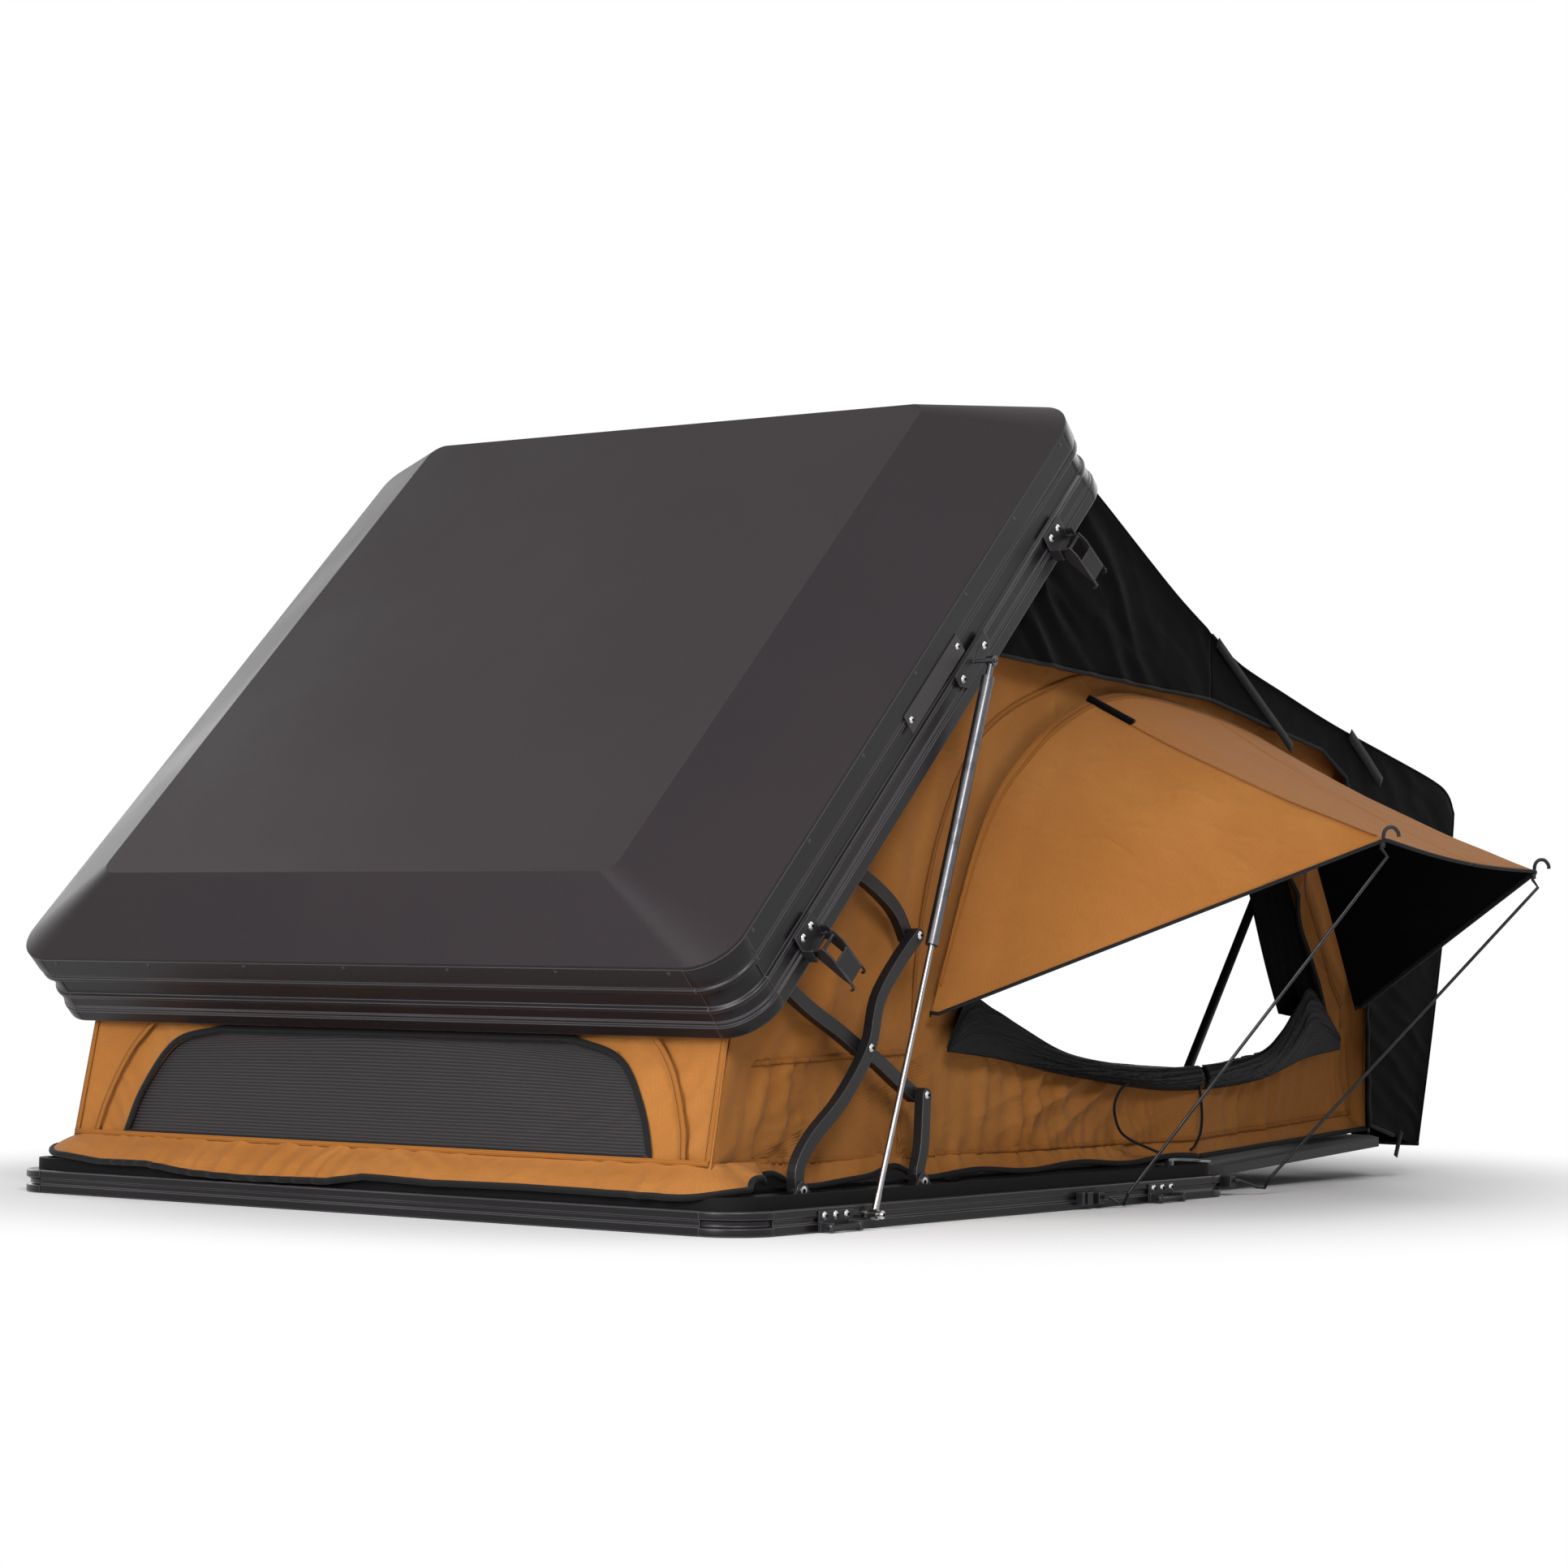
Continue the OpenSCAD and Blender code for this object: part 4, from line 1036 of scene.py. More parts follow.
@dataclass
class HardParts(Maker):
    """Dresses the CAD nodes, breaks their edges with a lighter finish of wear and painted highlight, and puts socket
    marks of painted shade on the bolt heads.
    """

    rivet_size: float = 0.0115
    edge_width: float = 0.0011
    edge_angle: float = 32.0
    weld: float = 0.00002
    edged: tuple[str, ...] = ("rail_black", "corner_black", "bracket_black", "arm_black")
    bolt_nodes: tuple[str, ...] = ("lid_bolts", "base_bolts", "arm_pins", "knee_pins", "foot_pins")
    least_head: float = 0.0085
    head_depth: float = 0.004
    socket_share: float = 0.5
    socket_most: float = 0.0042
    socket_lift: float = 0.0001
    socket_rings: tuple = ((1.0, 0.0), (1.0, 0.0003), (0.55, 0.0003))

    def build(self, frame: dict) -> None:
        """Gives each CAD node its slot's finish.
        """
        for entry in frame["record"]["subparts"]:
            node, slot = frame["nodes"][entry["node"]], entry["material_slot"]
            node.data.materials.clear()
            node.data.materials.append(self.finishes[slot])
            if slot in self.edged:
                self._edges(node)
        LOG.info("dressed %d CAD nodes", len(frame["nodes"]))
        self._rivets(frame["nodes"]["lid_bolts"])
        for name in self.bolt_nodes:
            self._sockets(frame["nodes"][name])

    @staticmethod
    def _islands(mesh: bpy.types.Mesh) -> list[list[int]]:
        """Point numbers of each separate piece of a mesh, joined where points coincide.

        Args:
            mesh: a CAD node's mesh.

        Returns:
            A list of point numbers for each piece.
        """
        keys: dict[tuple, int] = {}
        home = [keys.setdefault(tuple(round(c, 5) for c in v.co), v.index) for v in mesh.vertices]
        parent = list(range(len(home)))

        def root(i: int) -> int:
            """The piece that a point belongs to.

            Args:
                i: the point's number.

            Returns:
                The number that stands for the piece.
            """
            while parent[i] != i:
                parent[i] = parent[parent[i]]
                i = parent[i]
            return i

        for i, h in enumerate(home):
            parent[root(i)] = root(h)
        for e in mesh.edges:
            parent[root(e.vertices[0])] = root(e.vertices[1])
        groups: dict[int, list[int]] = {}
        for i in range(len(home)):
            groups.setdefault(root(i), []).append(i)
        return list(groups.values())

    def _edges(self, node: bpy.types.Object) -> None:
        """Breaks the sharp edges of a metal node, and gives them a lighter finish: rubbed paint, and a painted
        highlight along each edge.

        Args:
            node: a CAD node of extruded, bent or cast metal.
        """
        node.data.materials.append(self.finishes["edge_rubbed"])
        node.modifiers.new("join", "WELD").merge_threshold = self.weld
        edge = node.modifiers.new("broken_edge", "BEVEL")
        edge.width, edge.segments, edge.limit_method = self.edge_width, 2, "ANGLE"
        edge.angle_limit = math.radians(self.edge_angle)
        edge.use_clamp_overlap = False
        # the bevel takes the lighter finish: wear, and a painted highlight along the edge
        edge.material = 1

    def _rivets(self, node: bpy.types.Object) -> None:
        """Gives the small rivets of the lid's edge a black finish.

        Args:
            node: the CAD node of the lid's bolts and rivets.
        """
        co = np.array([v.co for v in node.data.vertices])
        small: set[int] = set()
        for group in self._islands(node.data):
            if np.ptp(co[group], axis=0).max() < self.rivet_size:
                small.update(group)
        node.data.materials.append(self.finishes["rivet_black"])
        for face in node.data.polygons:
            if face.vertices[0] in small:
                face.material_index = 1
        LOG.info("blackened the rivets: %d points", len(small))

    def _sockets(self, node: bpy.types.Object) -> None:
        """Puts a thin dark six-sided plate on each head that faces sideways: painted shade that stands for a socket's
        hollow.

        Args:
            node: a CAD node of bolt heads.
        """
        co = np.array([v.co for v in node.data.vertices])
        base = tuple(range(6))
        shell = [*quads(3, 6, True), base, tuple(k + 12 for k in reversed(base))]
        verts, faces = [], []
        for group in self._islands(node.data):
            points = co[group]
            low, high = points.min(0), points.max(0)
            mid, span = (low + high) / 2, high - low
            if span[1] < self.least_head or span[2] < self.least_head:
                continue
            out = 1.0 if mid[0] > 0 else -1.0
            face = high[0] if out > 0 else low[0]
            near = points[np.abs(points[:, 0] - face) < self.head_depth]
            reach = (near.max(0) - near.min(0))[1:].max() / 2
            radius = min(self.socket_most, reach * self.socket_share)
            at = np.array([face + out * self.socket_lift, mid[1], mid[2]])
            start = len(verts)
            for share, sink in self.socket_rings:
                r = radius * share
                verts += [at + np.array([out * sink, r * math.cos(a), r * math.sin(a)])
                          for a in np.arange(6) * math.pi / 3]
            faces += [tuple(start + k for k in (f if out < 0 else f[::-1])) for f in shell]
        if not verts:
            return
        flat = np.zeros((len(verts), 2))
        # dark finish: painted shade where a socket's hollow would be
        piece = self.solid(node.name + "_sockets", np.array(verts), faces, flat, ["socket_dark"])
        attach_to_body(piece, node["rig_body"])


@dataclass
class FrontPanel(Maker):
    """Front wall with its mesh window, binding, seams and flared skirt."""

    foot_y: float = -0.707
    foot_z: float = 0.064
    lean: float = 12.4
    half: float = 0.719
    height: float = 0.277
    narrow: float = 0.004
    thick: float = 0.0032
    wall_slack: float = 0.015
    window_low: float = 0.052
    window_left: float = -0.585
    window_right: float = 0.592
    window_top: float = 0.236
    top_half: float = 0.400
    mesh_slack: float = 0.014
    mesh_thick: float = 0.0012
    tape_half: float = 0.006
    tape_thick: float = 0.0016
    tape_lift: tuple[float, float] = (0.0040, 0.0052)
    seam_lift: float = 0.0046
    skirt_seam_lift: float = 0.0060
    skirt_thick: float = 0.003
    piping_radius: float = 0.0058
    corner: float = 0.030
    seam_y: float = -0.7005
    seam_z: float = 0.1085
    skirt_depth: float = 0.075
    skirt_past: float = 0.085
    hem_x: tuple = (-0.80, -0.752, -0.644, -0.522, -0.402, -0.266, -0.058, 0.034, 0.196, 0.387, 0.572, 0.80)
    hem_z: tuple = (0.074, 0.070, 0.061, 0.062, 0.051, 0.0475, 0.0505, 0.062, 0.058, 0.060, 0.059, 0.057)
    wall_fold: Fold = Fold("lid_fold", (0, -0.7071, 0.7071), (0, -0.686, 0.043), 0.04)
    skirt_fold: Fold = Fold("lid_fold", (0, 1, 0), (0, -0.660, 0), 0.2)

    def at(self, x: float, s: float, out: float = 0.0) -> np.ndarray:
        """A point on the leaning wall.

        Args:
            x: place across the width.
            s: distance up the wall.
            out: distance in front of it.

        Returns:
            The point in the frame.
        """
        a = math.radians(self.lean)
        return np.array([x, self.foot_y + s * math.sin(a) - out * math.cos(a),
                         self.foot_z + s * math.cos(a) - out * math.sin(a)])

    def window(self, grow: float = 0.0, fine: int = 1) -> np.ndarray:
        """The window's outline, from the lower left corner round to the right.

        Args:
            grow: how far outside the edge.
            fine: steps in place of one.

        Returns:
            Points (x, s) of a closed outline.
        """
        low, left, right = self.window_low - grow, self.window_left - grow, self.window_right + grow
        top, half, arc = self.window_top + grow, self.top_half, 24 * fine + 1
        runs = (
            keyed([(left, low), (right, low)], [60 * fine]),
            smooth_line([(right, low), (0.560 + grow, 0.130), (0.500 + grow, 0.205 + grow), (half, top)], arc),
            keyed([(half, top), (-half, top)], [50 * fine]),
            smooth_line([(-half, top), (-0.500 - grow, 0.210 + grow), (-0.560 - grow, 0.130), (left, low)], arc),
        )
        return np.vstack([run[:-1] for run in runs])

    def build(self) -> None:
        """Makes all pieces of the front."""
        self._wall()
        self._mesh()
        self._binding()
        self._skirt()
        self._seams()

    def _wall(self) -> None:
        """The canvas round the window, with soft folds towards its corners."""
        h, w, n = self.height, self.half, self.narrow
        outer = keyed([(-w, 0), (w, 0), (w - n, h), (n - w, h), (-w, 0)], [180, 72, 150, 72])[:-1]

        def pulled(x: float, s: float, t: float) -> np.ndarray:
            """A point of the wall, slack between its edge and the window.

            Args:
                x: place across the width.
                s: distance up the wall.
                t: share of the way from the edge to the window.

            Returns:
                The point in the frame.
            """
            lean = 58 if x > 0 else 122
            pull = 0.65 * crease_at(x, s, lean, 0.050, 0.2, 3.1)
            pull += 0.35 * crease_at(x, s, lean + 14, 0.028, 0.12, 6.4)
            return self.at(x, s, 0.002 - math.sin(math.pi * t) ** 0.7 * self.wall_slack * (1 - pull))

        grid = loft(outer, self.window(0.0, 3), 26, pulled)
        wall = self.sheet("front_wall_canvas", grid, self.thick, ["canvas"], loop=True)
        carry(wall, Body.BASE, ["front_wall"], self.wall_fold)

    def _mesh(self) -> None:
        """The ribbed insect mesh, slightly slack behind the wall, pulled into folds at its right end."""
        line = self.window(0.008)
        low, high = line[:, 1].min(), line[:, 1].max()
        rows = []
        for s in np.linspace(low, high, 34):
            left = np.interp(s, line[160:109:-1, 1], line[160:109:-1, 0]) if s > low else line[0, 0]
            right = np.interp(s, line[60:85, 1], line[60:85, 0])
            left = min(left, np.interp(s, line[:109:-1, 1], line[:109:-1, 0]))
            rise = math.sin(math.pi * min(1.0, (s - low) / (high - low) + 0.02)) ** 0.5
            row = []
            for x in np.linspace(left, right, 130):
                t = (x - left) / (right - left)
                calm = math.sin(math.pi * t) ** 0.5 * rise
                fan = clamp((x - 0.20) / 0.30)
                pull = 0.013 * fan * crease_at(x, s, 24, 0.030, 0.2, 8.3) + 0.004 * fold_at(x, s, 80, 0.3, 0.10, 8.0)
                row.append(self.at(x, s, -0.003 - calm * max(0.001, self.mesh_slack - pull)))
            rows.append(row)
        mesh = self.sheet("front_window_mesh", np.array(rows), self.mesh_thick, ["black_mesh"], flip=True)
        carry(mesh, Body.BASE, ["front_mesh"], self.wall_fold)

    def _binding(self) -> None:
        """Dark tape sewn round the window."""
        line = self.window(0.004)
        ring = np.vstack([line, line[:1]])
        way = unit(np.gradient(ring, axis=0))
        edge, ridge = self.tape_lift
        grid = [[self.at(x - d[1] * off, s + d[0] * off, lift) for (x, s), d in zip(ring, way)]
                for off, lift in ((-self.tape_half, edge), (0.0, ridge), (self.tape_half, edge))]
        tape = self.sheet("front_window_binding", np.array(grid), self.tape_thick, ["binding_black"], flip=True)
        carry(tape, Body.BASE, fold=self.wall_fold)

    def hem(self, run: float, t: float) -> np.ndarray:
        """A point of the flared skirt, which turns round both corners.

        Args:
            run: distance along the top seam from the middle of the front.
            t: 0 at the seam, 1 at the hem.

        Returns:
            The point in the frame.
        """
        sign, reach = (1.0 if run >= 0 else -1.0), abs(run)
        flat, quarter = self.half - self.corner, self.corner * math.pi / 2
        turn = clamp((reach - flat) / quarter) * math.pi / 2
        past = max(0.0, reach - flat - quarter)
        x = min(reach, flat) + self.corner * math.sin(turn)
        y = self.seam_y + self.corner * (1 - math.cos(turn)) + past
        calm = max(0.0, 1 - past / 0.10)
        lean, v = (62 if run > 0 else 118), t * 0.06
        pull = crease_at(run, v, lean, 0.052, 0.14, 5.5) + 0.6 * crease_at(run, v, lean - 30, 0.031, 0.08, 2.5)
        wave = 0.013 * math.sin(math.pi * min(1.0, 0.06 + t * 0.6)) * (pull - 0.6)
        flare = (0.057 * t ** 1.4 + wave) * (0.12 + 0.88 * calm ** 0.7)
        low = float(np.interp(sign * min(reach, flat) * 1.075, self.hem_x, self.hem_z))
        low += 0.022 * math.sin(min(1.0, past / 0.05) * math.pi / 2) * calm ** 0.5 + 0.012 * math.sin(turn) ** 2
        z = self.seam_z - (self.seam_z - low) * (0.62 * t + 0.38 * t ** 5)
        return np.array([sign * (x + math.sin(turn) * flare), y - math.cos(turn) * flare, z])

    def _skirt(self) -> None:
        """The skirt below the seam, its hem in waves, with black piping."""
        reach = self.half - self.corner + self.corner * math.pi / 2 + self.skirt_past
        grid = np.array([[self.hem(r, t) for r in np.linspace(-reach, reach, 420)] for t in np.linspace(0, 1, 22)])
        skirt = self.sheet("front_skirt_canvas", grid, self.skirt_thick, ["canvas"])
        carry(skirt, Body.BASE, ["front_skirt"], self.skirt_fold)
        line = grid[-1] + np.array([0, -0.001, 0.0])
        piping = self.tube("front_skirt_piping", line, self.piping_radius, "binding_black", 10)
        carry(piping, Body.BASE, fold=self.skirt_fold)

    def _seams(self) -> None:
        """Stitched seams: one along the skirt's top, curved ones by the window, one at each corner."""
        lines = [[(-self.half + 0.004, 0.047), (self.half - 0.004, 0.047)]]
        for bend in ([(0.545, 0.272), (0.610, 0.200), (0.650, 0.110), (0.662, 0.050)],
                     [(self.half - 0.010, 0.274), (self.half - 0.008, 0.05)]):
            lines += [bend, [(-x, s) for x, s in bend]]
        for number, line in enumerate(lines):
            flat = smooth_line(line, 40) if len(line) > 2 else even(line, 60)
            lift = self.seam_lift if number else self.skirt_seam_lift
            points = np.array([self.at(x, s, lift) for x, s in flat])
            seam = self.seam(f"front_seam_{number}", points, (1, 0, 0) if number else (0, 0, 1))
            carry(seam, Body.BASE, fold=self.wall_fold if number else self.skirt_fold)


@dataclass
class SideWalls(Maker):
    """Side walls in a front and a fold-out half, with windows, rolled mesh, seams and ties."""

    wall_x: float = 0.718
    cut: float = 0.800
    thick: float = 0.0032
    wall_rows: int = 48
    sill_sag: float = 0.036
    hem_radius: float = 0.0052
    hem_lift: float = 0.001
    hem_drop: float = 0.003
    edge_radius: float = 0.005
    edge_lift: float = 0.002
    seam_lift: float = 0.0034
    roll_lift: float = 0.003
    roll_thick: float = 0.0022
    flap_depth: float = 0.030
    flap_thick: float = 0.0024
    tie_radius: float = 0.0026
    tie_lift: float = 0.013
    rear_y: float = 1.4665
    rear_half: float = 0.715
    rear_z: tuple[float, float] = (0.100, 0.766)
    outer_front: tuple = ((0.8, 1.023), (0.303, 1.300), (-0.640, 0.369), (-0.648, 0.300), (-0.697, 0.066),
                          (0.8, 0.066))
    inner_front: tuple = ((0.8, 0.840), (0.500, 0.842), (0.240, 0.750), (0.105, 0.540), (0.010, 0.300), (0.8, 0.262))
    steps_front: tuple = (40, 110, 12, 46, 190)
    outer_rear: tuple = ((0.8, 1.021), (0.9, 0.970), (1.273, 0.876), (1.388, 0.836), (1.464, 0.77), (1.464, 0.097),
                         (0.8, 0.065))
    inner_rear: tuple = ((0.8, 0.840), (0.92, 0.815), (1.060, 0.760), (1.120, 0.690), (1.172, 0.600), (1.350, 0.285),
                         (0.8, 0.262))
    steps_rear: tuple = (12, 30, 14, 12, 70, 90)
    roll_keys: tuple = ((-0.046, 0.276, 0.282, 0.002), (0.016, 0.270, 0.366, 0.003), (0.100, 0.262, 0.346, 0.006),
                        (0.183, 0.250, 0.316, 0.010), (0.300, 0.232, 0.276, 0.017), (0.400, 0.220, 0.256, 0.021),
                        (0.560, 0.202, 0.240, 0.023), (0.700, 0.192, 0.234, 0.024), (0.880, 0.194, 0.240, 0.024),
                        (1.030, 0.206, 0.258, 0.021), (1.110, 0.222, 0.296, 0.014), (1.180, 0.238, 0.352, 0.008),
                        (1.230, 0.246, 0.380, 0.004), (1.348, 0.258, 0.286, 0.002))
    flap: tuple = ((1.010, 0.760), (1.015, 0.640), (1.036, 0.580), (1.080, 0.480), (1.120, 0.400), (1.160, 0.330))
    flap_edge: tuple = ((1.075, 0.770), (1.135, 0.690), (1.185, 0.600), (1.240, 0.500), (1.290, 0.410), (1.340, 0.310))
    door_half: tuple = ((0.55, 0.150), (0.56, 0.380), (0.505, 0.580), (0.390, 0.685))
    door_top: float = 0.722
    seams: tuple = (
        (Body.BASE, ((-0.672, 0.108), (-0.20, 0.100), (0.798, 0.100)), (0, 0, 1)),
        (Body.BASE, ((-0.640, 0.262), (-0.420, 0.268), (-0.120, 0.276)), (0, 0, 1)),
        (Body.BASE, ((-0.120, 0.276), (-0.112, 0.430), (-0.050, 0.640), (0.080, 0.820), (0.290, 0.915), (0.500, 0.955),
                     (0.796, 0.950)), (0, 1, -1)),
        (Body.BASE, ((-0.120, 0.276), (-0.135, 0.190), (-0.150, 0.105)), (0, 1, 0)),
        (Body.FOLD, ((0.802, 0.102), (1.100, 0.112), (1.456, 0.130)), (0, 0, 1)),
        (Body.FOLD, ((1.215, 0.640), (1.310, 0.460), (1.398, 0.300)), (0, 1, 1)),
    )
    hems: tuple = ((Body.BASE, ((-0.640, 0.070), (0.797, 0.070))), (Body.FOLD, ((0.803, 0.069), (1.458, 0.101))))
    ties: tuple = (
        ((0.530, 0.212), (0.500, 0.196), (0.482, 0.172), (0.486, 0.146), (0.505, 0.121), (0.545, 0.104), (0.590, 0.092),
         (0.640, 0.079)),
        ((0.781, 0.206), (0.790, 0.170), (0.794, 0.140), (0.788, 0.110), (0.768, 0.088), (0.752, 0.080)),
    )

    def build(self) -> None:
        """Makes both sides and the rear wall."""
        for side in Side:
            for body in Body:
                self._half(side, body)
            self._roll(side)
            self._flap(side)
            self._seams(side)
            self._ties(side)
        self._rear()

    @staticmethod
    def slack(y: float, z: float, side: Side) -> float:
        """Depth of the folds in the cloth: fans by the front corner, drops under the sill, long pulls above.

        Args:
            y: place along the side.
            z: height.
            side: right or left, for another pattern.

        Returns:
            How far the cloth lies in from the frame's plane.
        """
        high = clamp((z - 0.25) / 0.06)
        gather = max(0.0, 1 - max(0.0, z - 0.066) / 0.10)
        fan = 62 + 24 * clamp((y + 0.70) / 0.40)
        drape = crease_at(y, z, fan, 0.055, 0.20, 11.0 + side.value)
        sweep = crease_at(y, z, 24, 0.060, 0.34, 17.0 + side.value) * clamp((y - 0.05) / 0.3)
        hang = crease_at(y, z, 88, 0.034, 0.10, 21.0) * gather
        long = 0.5 + 0.5 * fold_at(y, z, 66, 0.70, 0.085, 31.0 + side.value)
        pull = crease_at(y, z, 68, 0.11, 0.55, 27.0)
        fine = crease_at(y, z, fan + 16, 0.026, 0.09, 41.0)
        low = 0.032 - 0.018 * drape * (1 - 0.4 * gather) - 0.015 * sweep - 0.013 * hang - 0.008 * fine
        return (1 - high) * max(0.0, low) + high * (0.003 + 0.013 * long + 0.013 * (1 - pull))

    @staticmethod
    def ruffle(y: float, z: float, t: float) -> float:
        """Wave of the lower hem, with lifts over the arm feet.

        Args:
            y: place along the side.
            z: height before the wave.
            t: 0 at the hem, 1 at the window.

        Returns:
            The lift, none away from the hem.
        """
        if z > 0.13 or y > 0.79:
            return 0.0
        lift = 0.020 * sum(math.exp(-((y + foot) / 0.05) ** 2) for foot in (0.545, 0.196))
        return (lift + 0.004 * math.sin(y * 19 + 0.6)) * max(0.0, 1 - 5 * t)

    def near_cut(self, y: float) -> float:
        """Calms the folds where the two halves meet."""
        return min(1.0, abs(y - self.cut) * 5 + 0.05)

    def _half(self, side: Side, body: Body) -> None:
        """One half wall, lofted from its outer edge to the window's edge.

        Args:
            side: right or left.
            body: the base for the front half, the fold-out floor for the rear half.
        """
        front = body is Body.BASE
        steps = self.steps_front if front else self.steps_rear
        outer = keyed(self.outer_front if front else self.outer_rear, steps)
        inner = keyed(self.inner_front if front else self.inner_rear, steps)

        def hung(y: float, z: float, t: float) -> Point:
            """A point of the wall, with the sill's sag, the folds and the hem's wave.

            Args:
                y: place along the side.
                z: height.
                t: share of the way from the edge to the window.

            Returns:
                The point in the frame.
            """
            if z < 0.31:
                z -= self.sill_sag * t * math.sin(math.pi * clamp((y - 0.01) / 1.356))
            calm = min(1.0, 5 * t + 0.25) * self.near_cut(y)
            return self.wall_x - calm * self.slack(y, z, side), y, z + self.ruffle(y, z, t)

        grid = self.mirrored(loft(outer, inner, self.wall_rows, hung), side)
        name = f"side_{body.part}_{side.word}_"
        wall = self.sheet(name + "canvas", grid, self.thick, ["canvas"], flip=side is Side.LEFT)
        carry(wall, body, [f"side_wall_{side.word}" if front else f"rear_side_{side.word}"])
        edge = grid[-1] + np.array([side.value * self.edge_lift, 0, 0])
        carry(self.tube(name + "window_edge", edge, self.edge_radius, "binding_black"), body)

    def _roll(self, side: Side) -> None:
        """Insect mesh dropped onto the sill: a corner panel at each end, a gathered roll between them.

        Args:
            side: right or left.
        """
        keys = smooth_line(self.roll_keys, 200)

        def gathered(key: Point, t: float) -> Point:
            """A point of the mesh at one key and the share of its height.

            Args:
                key: place along the side, lower and upper edge, and depth of the roll.
                t: share of the height.

            Returns:
                The point in the frame.
            """
            y, low, high, belly = key
            fold = crease_at(y, t * 0.10, 6, 0.022, 0.30, 31.0)
            fine = crease_at(y, t * 0.10, 14, 0.011, 0.12, 33.0)
            out = math.sin(math.pi * t) ** 0.6 * (belly * (0.55 + 0.45 * fold) + 0.005 * fine)
            drop = 0.010 * belly / 0.024 * math.sin(math.pi * t) * fine
            return self.wall_x + self.roll_lift + out, y, low + (high - low) * t - drop

        for body, part in ((Body.BASE, keys[keys[:, 0] < self.cut - 0.002]),
                           (Body.FOLD, keys[keys[:, 0] > self.cut + 0.002])):
            grid = self.mirrored([[gathered(key, t) for key in part] for t in np.linspace(0, 1, 40)], side)
            roll = self.sheet(f"window_mesh_{body.part}_{side.word}", grid, self.roll_thick, ["window_mesh"],
                              flip=side is Side.LEFT)
            carry(roll, body, [f"window_mesh_{side.word}"] if body is Body.BASE else [])

    def _flap(self, side: Side) -> None:
        """The black inner flap, drawn back to the window's slanted rear edge in long folds.

        Args:
            side: right or left.
        """
        def drawn(y: float, z: float, t: float) -> Point:
            """A point of the flap."""
            fold = 0.010 * crease_at(y, z, 112, 0.034, 0.4, 61.0) * math.sin(math.pi * t)
            return self.wall_x - self.flap_depth + fold, y, z

        grid = loft(smooth_line(self.flap, 60), smooth_line(self.flap_edge, 60), 24, drawn)
        flap = self.sheet(f"window_flap_{side.word}", self.mirrored(grid, side), self.flap_thick, ["lining_black"],
                          flip=side is Side.LEFT)
        carry(flap, Body.FOLD)
        across, along, area = laid_flat(grid)

    def _seams(self, side: Side) -> None:
        """Stitched seams along the foot, the corner panel and the window's lower edge, and the bound hems.

        Args:
            side: right or left.
        """
        for number, (body, line, across) in enumerate(self.seams):
            points = self.mirrored([(self.wall_x + self.seam_lift - self.near_cut(y) * self.slack(y, z, side), y, z)
                                    for y, z in smooth_line(line, 260)], side)
            carry(self.seam(f"side_seam_{side.word}_{number}", points, across), body)
        for body, line in self.hems:
            points = [(self.wall_x + self.hem_lift, y, z - self.hem_drop + self.ruffle(y, z, 0.0))
                      for y, z in even(line, 160)]
            hem = self.tube(f"side_hem_{side.word}_{body.value}", self.mirrored(points, side), self.hem_radius,
                            "binding_black")
            carry(hem, body)

    def _ties(self, side: Side) -> None:
        """Two limp tie cords that hang from the sill.

        Args:
            side: right or left.
        """
        for number, route in enumerate(self.ties):
            points = self.mirrored([(self.wall_x + self.tie_lift, y, z) for y, z in smooth_line(route, 30)], side)
            tie = self.tube(f"window_tie_{side.word}_{number}", points, self.tie_radius, "webbing")
            carry(tie, Body.BASE)

    def _rear(self) -> None:
        """Rear wall with an arched door opening and its binding."""
        half, (low, high), foot = self.rear_half, self.rear_z, self.door_half[0]
        left = [(-x, z) for x, z in self.door_half]
        arch = smooth_line([*self.door_half, (0.0, self.door_top), *left[::-1]], 181)
        inner = np.vstack([keyed([left[0], foot], [80])[:-1], arch[:-1]])
        corners = [(-half, low), (half, low), (half, high), (-half, high), (-half, low)]

        def hung(x: float, z: float, t: float) -> Point:
            """A point of the wall, slack between its edge and the door."""
            slack = 0.008 * math.sin(math.pi * t) * (1 - crease_at(x, z, 74, 0.05, 0.3, 41.0))
            return x, self.rear_y - slack, z

        grid = loft(keyed(corners, [80, 60, 60, 60])[:-1], inner, 18, hung)
        wall = self.sheet("rear_wall_canvas", grid, self.thick, ["canvas"], flip=True, loop=True)
        carry(wall, Body.FOLD, ["rear_wall"])
        ring = np.vstack([grid[-1], grid[-1][:1]])
        carry(self.tube("rear_door_edge", ring, self.edge_radius, "binding_black"), Body.FOLD)


